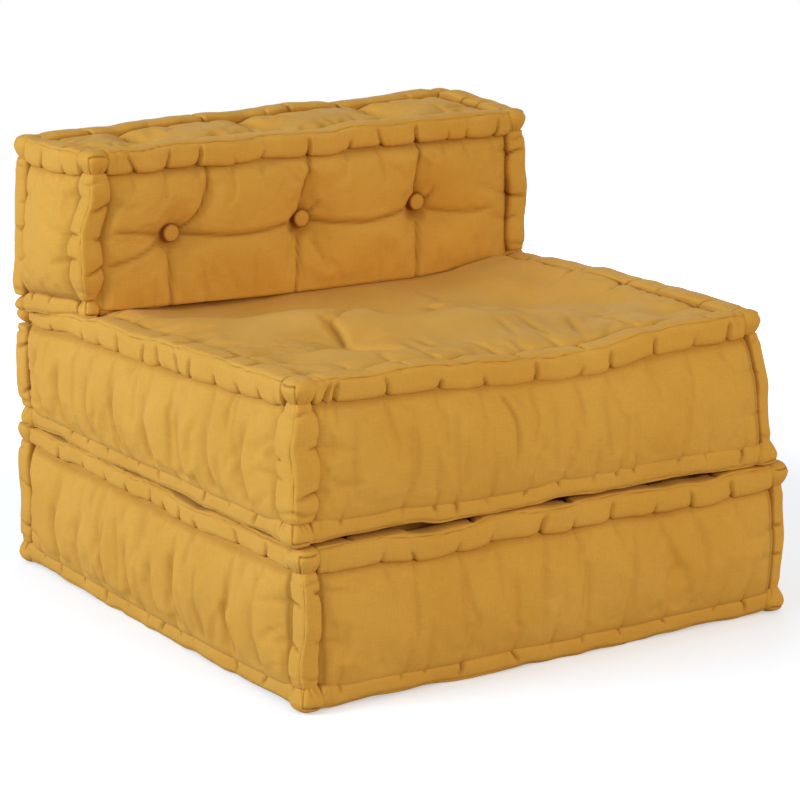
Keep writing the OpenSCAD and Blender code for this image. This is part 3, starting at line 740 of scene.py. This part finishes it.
def make_knob(name, cushion, spot, size=17.4, squash=(1, 1, 1)):
    """A stuffed corner where three rolls cross: a small pillow cube, wider at its outer end, where the
    cloth is folded over like the hem of a cap, with a seam up its outward edge."""
    piece = new_piece(name, bpy.ops.mesh.primitive_cube_add, size=2, location=(0, 0, 0))
    in_edit_mode(bpy.ops.mesh.subdivide, number_cuts=25)
    grid = points_of(piece.data)
    random = np.random.default_rng(cushion["seed"] + 700 + 4 * spot[0] + 2 * spot[1] + spot[2])
    roundness = 2.7
    ball = grid / ((np.abs(grid) ** roundness).sum(1) ** (1 / roundness))[:, None]
    x, y, z = (ball * [1 if s else -1 for s in spot]).T         # outward is plus on every axis
    wide = 0.74 + 0.33 * smooth((z + 1) / 1.35)
    around = np.arctan2(y, x)
    hem = (z - (0.60 + 0.05 * np.sin(3 * around + random.uniform(0, 6)))) * size
    upright = np.where((x > 0) & (y > 0), np.abs(x - y) * size, 30.0)
    turned = around if random.uniform() < 0.7 else math.pi / 2 - around
    broken = smooth((turned - 0.72) / 0.1) * smooth((2.3 - turned) / 0.5)
    side = np.maximum(x, y)
    folds = (0.03 * bell(hem - 2.4, 2.0) - 0.045 * bell(hem + 0.6, 1.3)) * smooth((side - 0.4) / 0.3) * broken
    folds = folds - 0.05 * bell(upright, 1.8) * smooth((0.5 - hem) / 1.5)
    for at in random.uniform(-0.6, 2.2, 4):              # small gathers that run from the neck
        folds = folds - 0.045 * bell(around - at - 0.25 * z, 0.12) * smooth((0.35 - z) / 0.9)
    for at in random.uniform(-0.9, 0.9, (3, 2)):         # and dents on its outer face
        folds = folds - 0.03 * np.exp(-((x - at[0]) ** 2 + (y - at[1]) ** 2) / 0.09) * (z > 0.3)
    reach = np.array([size * s for s in squash]) * (1 + folds)[:, None]
    reach[:, :2] *= wide[:, None]
    spots = ball * reach + cushion["corners"][spot]
    if "clamp" in cushion:
        spots[:, 2] = np.clip(spots[:, 2], *cushion["clamp"])
    put_points(piece.data, spots * MM)
    # Painted shade under the folded hem and in the folds and dents.
    painted_hem_shade = 0.5 * broken * bell(hem + 0.6, 1.2) * (side > 0.5)
    corner, of_face = corner_points(piece.data)
    normal = np.zeros((len(piece.data.polygons), 3))
    np.add.at(normal, of_face, grid[corner])
    axis = np.abs(normal).argmax(1)[of_face]
    uv = np.zeros((len(corner), 2))
    for a in range(3):
        uv[axis == a] = spots[corner[axis == a]][:, OTHERS[a]] * MM
    finish_cloth(piece, np.clip(painted_hem_shade + np.clip(-12 * folds - 0.2, 0, 0.5), 0, 1),
                 np.maximum(upright, 4 * (hem + 0.8)) * MM, uv)
    return piece


def spread_tucks(length, seed, pitch, depth=(0.8, 5.0)):
    """Hand-sewn stitch places along one half of a roll: about even, never regular."""
    random = np.random.default_rng(seed)
    free_end = 30           # mm without a stitch by each corner
    sewn = length - 2 * free_end
    count = max(2, round(sewn / pitch))
    places = free_end + (np.arange(count) + 0.5) * sewn / count
    places = places + random.uniform(-0.42, 0.42, count) * sewn / count
    return [(float(p), float(random.uniform(*depth)), float(random.uniform(-5, 5))) for p in places]


def sewn_at(start, places, seed, deep=()):
    """Stitch places in mm along x or y, for a roll that starts at a place; those in deep are pulled hard."""
    random = np.random.default_rng(seed)
    return [(abs(float(p - start)), 6.5 if p in deep else float(random.uniform(0.8, 4.5)),
             float(random.uniform(-5, 5))) for p in places]


def gathers(rows, seed, strength, reach, lean):
    """The cloth of a panel is gathered where a roll's stitches catch it."""
    random = np.random.default_rng(seed)
    return [(place, float(strength * random.uniform(1.6, 3.2)), float(random.uniform(*reach)),
             float(random.uniform(-lean, lean))) for place, _, _ in rows]


def dress_cushion(label, cushion, cells, coarse, rings, seed, squeeze):
    cushion["seed"] = seed
    tucks, rolls = {face: [[], [], [], []] for face in FACES}, {"bottom": [], "top": [], "corner": []}
    sewn = {}
    for axis, i, j in np.ndindex(3, 2, 2):
        start, length = rail_span(cushion, axis, i, j)
        number = seed + 20 * axis + 4 * i + 2 * j
        pitch = 84 if axis < 2 else 44          # mm from stitch to stitch
        given = cushion["stitches"].get((axis, i, j))
        sewn[axis, i, j] = (
            sewn_at(start, *given) if given else spread_tucks(length, number, pitch),
            spread_tucks(length, number + 1, pitch))
        p, q = OTHERS[axis]
        for half, (face_axis, side, other, hand) in enumerate(((p, i, q, j), (q, j, p, i))):
            face = next(f for f, key in FACES.items() if key == (face_axis, side))
            panel = cushion["panels"][face]
            slot = (0 if other == OTHERS[face_axis][1] else 2) + hand
            tucks[face][slot] = gathers(
                sewn[axis, i, j][half], number + 400 + half, panel.get("gather", (1, 1, 1, 1))[slot],
                panel.get("reach", (10, 34)), panel.get("lean", 0.2))
    cushion["tucks"] = tucks
    cover = make_cover(f"{label}_cover", cushion, cells, coarse, squeeze)
    for axis, i, j in np.ndindex(3, 2, 2):
        rolls["corner" if axis == 2 else "top" if j else "bottom"].append(make_roll(
            f"{label}_roll_{axis}{i}{j}", cushion, axis, i, j, rings[axis], sewn[axis, i, j],
            seed + 20 * axis + 4 * i + 2 * j, radius=cushion["radii"].get((axis, i, j))))
    rolls = {group: joined(f"{label}_{group}_rolled_edges", pieces) for group, pieces in rolls.items()}
    knobs = joined(f"{label}_corner_pillows", [
        make_knob("{}_knob_{}{}{}".format(label, *spot), cushion, spot, **cushion["knobs"].get(spot, {}))
        for spot in np.ndindex(2, 2, 2)])
    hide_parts(f"{label}_filling", f"{label}_tufting_ties",
                *[f"{label}_{face}_panel" for face in FACES])
    for group in ("top", "bottom", "corner"):
        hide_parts(f"{label}_{group}_rolls")
    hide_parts(f"{label}_corner_knobs")
    for piece in (cover, knobs, *rolls.values()):
        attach(piece, label)


def pleats(places, low, high, depth, width, bow):
    """Upright pleats of a side panel that is gathered along its lower edge, bowed like a bracket."""
    return [([(place, low), (place + bow, 0.5 * (low + high) * (1 + 0.1 * math.sin(place))),
              (place - 0.2 * bow, high * (1 + 0.12 * math.sin(1.7 * place)))],
             depth * (1 + 0.3 * math.sin(2.3 * place)), width * (1 + 0.2 * math.cos(place)), (0.12, 0.45))
            for place in places]


nine_ties = [(u, v, 14, 26) for u in (163, 335, 507) for v in (161, 333, 505)]

# clamp: the heights in mm that its rolls and corners stay between. shaded: whether its bottom (0) or
# top (1) rolls lie in the gap between the cushions; those get painted shade on the half that faces the
# gap. Where a panel hangs, overhangs or spills, its cloth swells over the roll below it or at its right
# end, and a pressed one bears on something.
base = {
    "clamp": (0.3, 187.2), "shaded": 1, "knobs": {},
    "corners": corners_of([(-338, -341, 17), (329, -350, 17), (-329, 340, 17), (333, 338, 17)],
                          [(-333, -328, 171), (337, -341, 171), (-330, 331, 176), (333, 331, 173)]),
    "bows": {
        (2, 1, 0): [(0.45, 0.28, (4, -2, 0))],
        (0, 0, 1): [(0.24, 0.05, (0, 0, -5)), (0.34, 0.04, (0, 0, -5)), (0.50, 0.06, (0, 0, -4)),
                    (0.73, 0.06, (0, 0, -5)), (0.83, 0.04, (0, 0, -4))],
        (1, 0, 1): [(0.35, 0.2, (0, 0, -2.5)), (0.62, 0.12, (2, 0, 0)), (0.86, 0.07, (0, 0, -2.5))],
        (1, 0, 0): [(0.5, 0.6, (0, 0, -4))],
        (0, 0, 0): [(0.5, 0.6, (0, 0, -4))],
    },
    "radii": {
        (0, 0, 0): girth((0, 50), (50, 0), 16, 13, 12.5, 15),
        (1, 0, 0): girth((0, 40), (40, 0), 15, 12.5, 12.5, 15),
        (1, 0, 1): girth((0, 40), (40, 0), 15.5, 13.5, 13, 15),
        (2, 0, 0): girth((0, 30, 80), (0,), 15, 13.5, 14, 13),
        (2, 1, 0): girth((0, 30, 80), (0,), 14, 12.5, 13, 13),
    },
    "stitches": {
        (0, 0, 1): ((-237, -197, -137, -87, -17, 27, 83, 147, 200, 262), 11),
        (0, 0, 0): ((-303, -217, -187, -137, -67, -13, 33, 90, 153, 237, 277), 12),
        (1, 0, 0): ((-270, -200, -107, -73, -33, 7, 60, 120, 173, 240, 290), 13),
        (1, 0, 1): ((-262, -200, -107, -73, -33, 7, 60, 120, 173, 240), 14),
    },
    "panels": {
        "front": {"height": 15, "crown": 11, "hangs": True, "spills": True, "gather": (0.8, 0.8, 0.7, 0.7),
                  "reach": (22, 50), "folds": [
            ([(198, 22), (194, 80), (200, 132)], 1.0, 8, (0.3, 0.3)),
            ([(311, 20), (306, 70), (312, 134)], 1.2, 8, (0.3, 0.3)),
            ([(358, 24), (364, 90), (360, 134)], 0.9, 6, (0.3, 0.4)),
            ([(438, 20), (434, 76), (441, 134)], 1.3, 7, (0.3, 0.3)),
            ([(538, 24), (545, 76), (539, 134)], 1.1, 9, (0.3, 0.3))]},
        "left": {"height": 16, "crown": 12, "hangs": True, "gather": (0.8, 0.6, 0.7, 0.7),
                 "reach": (20, 44), "lean": 0.1,
                 "folds": pleats((70, 128, 196, 252, 306, 372, 436, 498, 566), 12, 118, 5.2, 9.5, 11)
                 + pleats((100, 225, 340, 470), 146, 92, 2.0, 9, 5)},
        "right": {"height": 15, "crown": 11, "reach": (22, 50)},
        "rear": {"height": 12, "crown": 3, "reach": (22, 50)},
        "top": {"height": 13, "crown": 6, "start": 22, "steep": 9, "pressed": True, "tufts": nine_ties},
        "bottom": {"height": 15, "crown": 3, "pressed": True, "tufts": nine_ties},
    },
}


def base_rest(spots, where):
    """The underside lies flat on the floor, and the seat cushion presses the top flat."""
    spots[:, 2] = np.clip(spots[:, 2], *base["clamp"])
    return spots


large_cells = ((14, 14), (14, 14), (7, 7))
large_net = ((7, 14), (7, 14), (5, 5))
large_rings = ((16, 16), (16, 16), (8, 7))
dress_cushion("base", base, large_cells, large_net, large_rings, 100, base_rest)


# Seat cushion: the same case a little smaller, lying on the base. Its top is pulled into soft puffs
# by ties without buttons, and the backrest's weight presses its rear down.

seat_levels = [             # (u, v, level) in mm: where the seat's top was measured
    (43, 440, 363), (90, 352, 367), (126, 314, 369), (184, 311, 371), (268, 262, 373), (353, 205, 374),
    (422, 190, 371), (483, 116, 369), (549, 104, 369), (588, 60, 364), (171, 446, 345),
    (262, 446, 343), (325, 420, 341), (398, 392, 341), (406, 318, 340), (417, 430, 346),
    (487, 438, 348), (530, 281, 346), (210, 372, 334), (300, 330, 333), (360, 262, 345), (390, 350, 338),
    (470, 230, 350), (112, 405, 349), (52, 193, 364), (106, 197, 367), (152, 192, 364), (180, 160, 349),
    (110, 110, 368), (50, 100, 362), (206, 112, 356), (262, 76, 366), (262, 170, 368), (330, 110, 371),
    (450, 60, 366), (592, 170, 363), (556, 425, 362), (560, 340, 362), (600, 330, 363), (60, 290, 364)]

seat_folds = [              # (points (u, v), depth, width, fade) of each crease
    ([(198, 251), (188, 205), (174, 168)], 2.2, 6.0, (0.5, 0.1)),
    ([(178, 160), (196, 138), (211, 90)], 1.8, 6.0, (0.15, 0.6)),
    ([(405, 150), (398, 92), (388, 36)], 2.0, 5.5, (0.4, 0.4)),
    ([(472, 138), (446, 80), (420, 24)], 2.3, 5.5, (0.4, 0.4)),
    ([(509, 104), (502, 62), (491, 26)], 1.9, 5.5, (0.4, 0.4)),
    ([(247, 150), (243, 100), (233, 54)], 1.7, 5.5, (0.4, 0.4)),
    ([(231, 144), (222, 92), (211, 50)], 1.5, 5.5, (0.4, 0.4)),
    ([(372, 148), (362, 100), (345, 54)], 1.6, 5.5, (0.4, 0.4)),
    ([(430, 345), (392, 300), (352, 258)], 1.7, 7.0, (0.4, 0.4)),
    ([(430, 345), (452, 380), (450, 430)], 1.4, 7.0, (0.4, 0.4)),
    ([(490, 254), (482, 210), (469, 170)], 1.4, 7.0, (0.4, 0.4)),
    ([(110, 420), (124, 380), (128, 340)], 1.8, 6.0, (0.3, 0.5))]

seat = {
    "clamp": (188.6, 400.0), "shaded": 0,
    "corners": corners_of([(-340, -325, 205), (316, -344, 204), (-333, 315, 203), (320, 322, 205)],
                          [(-324, -307, 359), (303, -321, 361), (-332, 328, 331), (312, 328, 342)]),
    "bows": {
        (0, 0, 1): [(0.55, 0.22, (0, 0, -14)), (0.15, 0.1, (0, 0, -3))],
        (0, 0, 0): [(0.36, 0.2, (0, 0, -4)), (0.2, 0.05, (0, 0, 3)), (0.52, 0.05, (0, 0, 4)),
                    (0.8, 0.06, (0, 0, 3))],
        (1, 0, 1): [(0.70, 0.20, (0, 0, 6)), (0.88, 0.08, (-7, 0, 0))],
        (1, 0, 0): [(0.40, 0.12, (0, 0, 2)), (0.65, 0.08, (0, 0, 1)), (0.85, 0.08, (0, 0, 2)),
                    (0.5, 0.6, (0, 0, -3))],
        (1, 1, 1): [(0.5, 0.3, (0, 0, 8))],
        (2, 1, 0): [(0.55, 0.3, (5, -2, 0))],
    },
    "knobs": {(0, 1, 1): {"size": 12.5, "squash": (1.2, 1, 0.8)}},
    "neck": 3.4,
    "radii": {
        (0, 0, 0): girth((0, 60, 300, 480), (0,), 15.5, 13, 13, 15, 15),
        (2, 1, 0): girth((0, 30, 80), (0,), 14, 12.5, 13, 14),
        (1, 0, 0): girth((0, 40), (40, 0), 15.5, 12.5, 12, 15),
        (1, 0, 1): girth((0, 300, 440, 480, 530, 590), (0,), 18, 18.5, 17, 14, 11.5, 9, 7),
        (2, 0, 0): girth((0, 30, 70, 110, 126, 136), (0,), 16, 19, 20, 20, 18, 14, 14),
    },
    "stitches": {
        (0, 0, 1): ((-298, -284, -217, -150, -87, -17, 47, 93, 157, 217, 268), 21, (-298, -284)),
        (0, 0, 0): ((-290, -210, -167, -140, -93, -40, 7, 53, 87, 110, 180, 220, 275), 22),
        (1, 0, 0): ((-255, -200, -140, -87, -30, 20, 53, 100, 147, 190, 250), 23),
        (1, 0, 1): ((-250, -205, -153, -100, -73, -23, 13, 73, 120, 165, 240), 24),
    },
    "panels": {
        "front": {"height": 16, "crown": 11, "hangs": True, "spills": True, "gather": (0.8, 0.7, 0.7, 0.7),
                  "reach": (22, 50), "folds": [
            ([(67, 20), (60, 80), (66, 132)], 1.3, 8, (0.3, 0.3)),
            ([(140, 20), (134, 80), (141, 134)], 1.0, 9, (0.3, 0.3)),
            ([(200, 22), (194, 80), (200, 132)], 1.2, 8, (0.3, 0.3)),
            ([(262, 134), (276, 92), (272, 30)], 2.2, 5, (0.1, 0.5)),
            ([(333, 20), (330, 70), (336, 134)], 1.0, 8, (0.3, 0.3)),
            ([(413, 24), (404, 76), (410, 134)], 1.3, 8, (0.3, 0.3))]},
        "left": {"height": 17, "crown": 12, "hangs": True, "gather": (0.8, 0.5, 0.7, 0.7),
                 "reach": (20, 44), "lean": 0.1,
                 "folds": pleats((72, 146, 214, 290, 366, 436, 512, 574), 12, 124, 6.0, 11, 13)
                 + pleats((110, 330), 146, 96, 1.8, 9, 5)},
        "right": {"height": 17, "crown": 11, "reach": (22, 50)},
        "rear": {"height": 12, "crown": 2},
        "top": {"height": 17, "crown": 7, "steep": 12, "lumps": 2.0, "gather": (1.3, 0.6, 1.0, 1.0),
                "reach": (24, 60), "settled": 0.6, "levels": seat_levels, "folds": seat_folds,
                "tufts": [(172, 162, 7, 26), (436, 174, 4, 24), (512, 112, 4, 22), (340, 320, 4, 26)],
                "valleys": [([(198, 251), (186, 205), (172, 166)], 5, 10),
                            ([(172, 166), (196, 140), (212, 92)], 5, 10),
                            ([(430, 345), (392, 300), (352, 258)], 6, 12),
                            ([(490, 254), (480, 210), (469, 174)], 4, 12)]},
        "bottom": {"height": 15, "crown": 6, "start": 25, "steep": 9, "pressed": True, "tufts": nine_ties},
    },
}


def pressed_level(x, y):
    """Height in mm at which the backrest and the seat meet: lowest in the middle and at the rear."""
    front = np.interp(x, [-331, -290, -171, -73, 15, 150, 230, 300], [364, 362, 357, 353, 351, 350, 355, 362])
    rear = 334 + 14 * np.clip((x + 330) / 660, 0, 1)
    return front + (rear - front) * np.clip((y - 165) / 165, 0, 1)


def seat_rest(spots, where):
    """It rests on the base, and its top is pressed to a slope under the backrest."""
    spots[:, 2] = np.maximum(spots[:, 2], seat["clamp"][0])
    starts, ease, gap = 148, 22, 0.6            # mm, of the pressed part
    under = smooth((spots[:, 1] - starts) / ease)
    level = pressed_level(spots[:, 0], spots[:, 1]) - gap
    high = where["top"] & (spots[:, 2] > level)
    spots[high, 2] += (level[high] - spots[high, 2]) * under[high]
    return spots


dress_cushion("seat", seat, large_cells, large_net, large_rings, 200, seat_rest)


# Backrest cushion: a slim upright bolster on the rear of the seat, sewn to it along its rear lower
# edge. Twine through the filling holds three covered buttons on each broad side.

def creases(levels, rows, *rest):
    """Lines that cross a panel at three levels, one for each row of places."""
    return [(list(zip(row, levels)), *rest) for row in rows]


front_valleys = [           # (points (u, v), depth, width) of each soft hollow round the buttons
    ([(114, 80), (146, 104), (155, 152)], 5, 12), ([(305, 79), (303, 114), (308, 152)], 5, 12),
    ([(483, 80), (478, 114), (479, 152)], 5, 12), ([(112, 76), (109, 46), (108, 14)], 3, 14),
    ([(304, 74), (300, 44), (296, 14)], 3, 14), ([(483, 73), (480, 44), (478, 14)], 3, 14),
    ([(114, 80), (210, 77), (305, 79)], 4.5, 14), ([(305, 79), (395, 75), (483, 80)], 4.5, 14),
    ([(112, 76), (60, 84), (14, 90)], 3, 14), ([(483, 80), (550, 73), (610, 76)], 3, 16)]

front_folds = [
    ([(120, 83), (145, 106), (156, 172)], 4.0, 3.6, (0.04, 0.03)),
    ([(305, 88), (301, 124), (309, 172)], 4.0, 3.4, (0.04, 0.03)),
    ([(308, 84), (320, 96), (326, 112)], 2.6, 3, (0.1, 0.6)),
    ([(484, 88), (475, 124), (478, 172)], 4.0, 3.4, (0.04, 0.03)),
    ([(488, 84), (500, 98), (504, 114)], 2.6, 3, (0.1, 0.6)),
    ([(116, 68), (112, 40), (107, 6)], 2.8, 3.4, (0.1, 0.1)),
    ([(307, 66), (300, 40), (292, 6)], 2.6, 3.4, (0.1, 0.1)),
    ([(487, 66), (481, 40), (476, 6)], 2.6, 3.4, (0.1, 0.1)),
    ([(126, 82), (210, 77), (293, 81)], 3.2, 3.8, (0.05, 0.08)),
    ([(317, 81), (395, 75), (471, 81)], 3.2, 3.8, (0.05, 0.08)),
    ([(102, 82), (60, 92), (20, 95)], 2.8, 4, (0.06, 0.3)),
    ([(104, 75), (66, 63), (16, 52)], 2.6, 4, (0.06, 0.2)),
    ([(495, 79), (550, 72), (604, 76)], 2.4, 4, (0.06, 0.3))]

top_lines = ((116, 112, 108), (295, 292, 290), (482, 478, 476))

backrest = {
    "corners": corners_of([(-326, 178, 365), (316, 178, 358), (-335, 328, 347), (314, 328, 362)],
                          [(-315, 176.5, 545), (312, 176.5, 543), (-325, 327.5, 544), (303, 328.5, 552)]),
    "bows": {(0, 0, 0): [(0.55, 0.3, (0, 14, -4))], (0, 1, 0): [(0.5, 0.5, (0, 0, -4))],
             (2, 0, 0): [(0.38, 0.28, (-9, -4, 0)), (0.72, 0.12, (4, 0, 0))],
             (1, 0, 0): [(0.55, 0.3, (-8, 0, 2))]},
    "radii": {
        (0, 0, 0): girth((0, 70), (70, 0), 10, 9, 9, 10),
        (1, 0, 0): girth((0, 20, 70, 120), (0,), 6, 10, 13, 13, 9),
        (2, 0, 0): girth((0, 14, 40, 110), (0,), 9, 11, 17.5, 17, 15),
    },
    "knobs": {(0, 0, 0): {"size": 11.5}, (0, 1, 0): {"size": 12, "squash": (1.2, 1, 0.8)}},
    "stitches": {(0, 0, 1): ((-267, -220, -177, -123, -80, -13, 47, 97, 153, 200, 233, 275), 31,
                             (-177, -13, 153))},
    "panels": {
        "front": {"height": 15, "crown": 12, "flat": 12, "steep": 10, "overhangs": True,
                  "gather": (0.4, 0.9, 0.8, 0.8), "valleys": front_valleys, "folds": front_folds,
                  "tufts": [(114, 80, 25, 24), (305, 79, 25, 24), (483, 80, 25, 24)]},
        "left": {"height": 15, "crown": 10, "gather": (0.5, 0.5, 0.8, 0.8)},
        "right": {"height": 15, "crown": 10},
        "rear": {"height": 12, "crown": 5, "flat": 9,
                 "tufts": [(u, 76, 13, 26) for u in (112, 304, 483)],
                 "valleys": creases((76, 110, 150), ((112, 109, 112), (304, 306, 304), (483, 480, 483)),
                                    3, 14)
                 + creases((76, 40, 10), ((112, 112, 108), (304, 300, 304), (483, 484, 480)), 3, 14)},
        "top": {"height": 11, "crown": 6, "reach": (20, 40),
                "tufts": [(u, 72, 19, 24) for u in (116, 295, 482)],
                "valleys": creases((70, 110, 146), top_lines, 6, 13)
                + creases((70, 40, 14), ((116, 120, 124), (295, 298, 300), (482, 486, 488)), 5, 13),
                "folds": creases((74, 110, 144), top_lines, 2.2, 3.5, (0.1, 0.1))
                + creases((66, 40, 16), ((116, 122, 130), (295, 299, 306), (482, 487, 494)), 2.0, 3.5,
                          (0.1, 0.3))},
        "bottom": {"height": 10, "crown": 3, "pressed": True},
    },
}


def backrest_rest(spots, where):
    """Its underside follows the slope of the seat that it stands on, and its front sags at the foot."""
    sag, sag_height, sag_spread = 11, 10, 26    # mm
    level = pressed_level(spots[:, 0], spots[:, 1])
    low = where["front"] & (spots[:, 2] < level + 60)
    out = smooth((188 - spots[low, 1]) / 14)
    spots[low, 2] -= out * sag * bell(spots[low, 2] - level[low] - sag_height, sag_spread)
    spots[:, 2] = np.maximum(spots[:, 2], level)
    return spots


slim_cells = ((14, 14), (7, 8), (7, 8))
slim_net = ((7, 14), (4, 7), (4, 7))
slim_rings = ((16, 16), (8, 8), (8, 8))
dress_cushion("backrest", backrest, slim_cells, slim_net, slim_rings, 300, backrest_rest)


# Covered buttons: domed metal blanks in the cover's own cotton, about 24 mm across, pulled into the
# filling by a twine loop. Three face the front and three the rear.

button_radius, button_dome = 12.0, 3.9


def make_button(name, place, out):
    """One covered button at a place in mm, facing out along y."""
    piece = new_piece(name, bpy.ops.mesh.primitive_uv_sphere_add, segments=48, ring_count=24, radius=1,
                      location=(0, 0, 0))
    ball = points_of(piece.data)
    wide = np.hypot(ball[:, 0], ball[:, 1])
    rim = np.exp(-((wide - 0.86) / 0.07) ** 2) * (ball[:, 2] > 0)
    turn = np.arctan2(ball[:, 1], ball[:, 0])
    high = np.sign(ball[:, 2]) * np.abs(ball[:, 2]) ** 0.8 * button_dome * (1 - 0.12 * rim)
    spots = np.stack([ball[:, 0] * button_radius, out * high,
                      ball[:, 1] * button_radius * (1 + 0.02 * np.sin(5 * turn))], -1) + place
    put_points(piece.data, spots * MM)
    corner, _ = corner_points(piece.data)
    # Painted shade: the whole face a little darker, and a dark ring round its rim.
    finish_cloth(piece, np.clip(0.16 + 0.5 * rim + 0.9 * (wide > 0.87), 0, 1), np.ones(len(ball)),
                 spots[corner][:, [0, 2]] * MM, turn_faces=True)
    return piece


button_places = [(-210.5, 448), (-19, 446.5), (159, 450)]
for side, y, out in (("front", 174.2, -1), ("rear", 333, 1)):
    covers = joined(f"{side}_button_covers", [
        make_button(f"{side}_button_{i}", (x, y, z), out) for i, (x, z) in enumerate(button_places)])
    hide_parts(f"{side}_buttons")
    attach(covers, "backrest")


# Hinge seam: a thin stuffed seam sewn along the rear edge, which joins the backrest to the seat and
# lets it swing over to the rear.

hinge_radius, hinge_length = 6.2, 610
hinge_line = [(-305, 348.75, 348.45), (305, 348.75, 348.45)] * 2
hinge_roll = make_roll("hinge_seam_roll", {"corners": corners_of(hinge_line, hinge_line), "bows": {}},
                       0, 1, 1, (14, 14),
                       [spread_tucks(hinge_length, seed, 30, (0.6, 1.2)) for seed in (901, 902)], 950,
                       around=24, radius=girth((0,), (0,), hinge_radius, hinge_radius))
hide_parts("hinge_seam")
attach(hinge_roll, "seat")
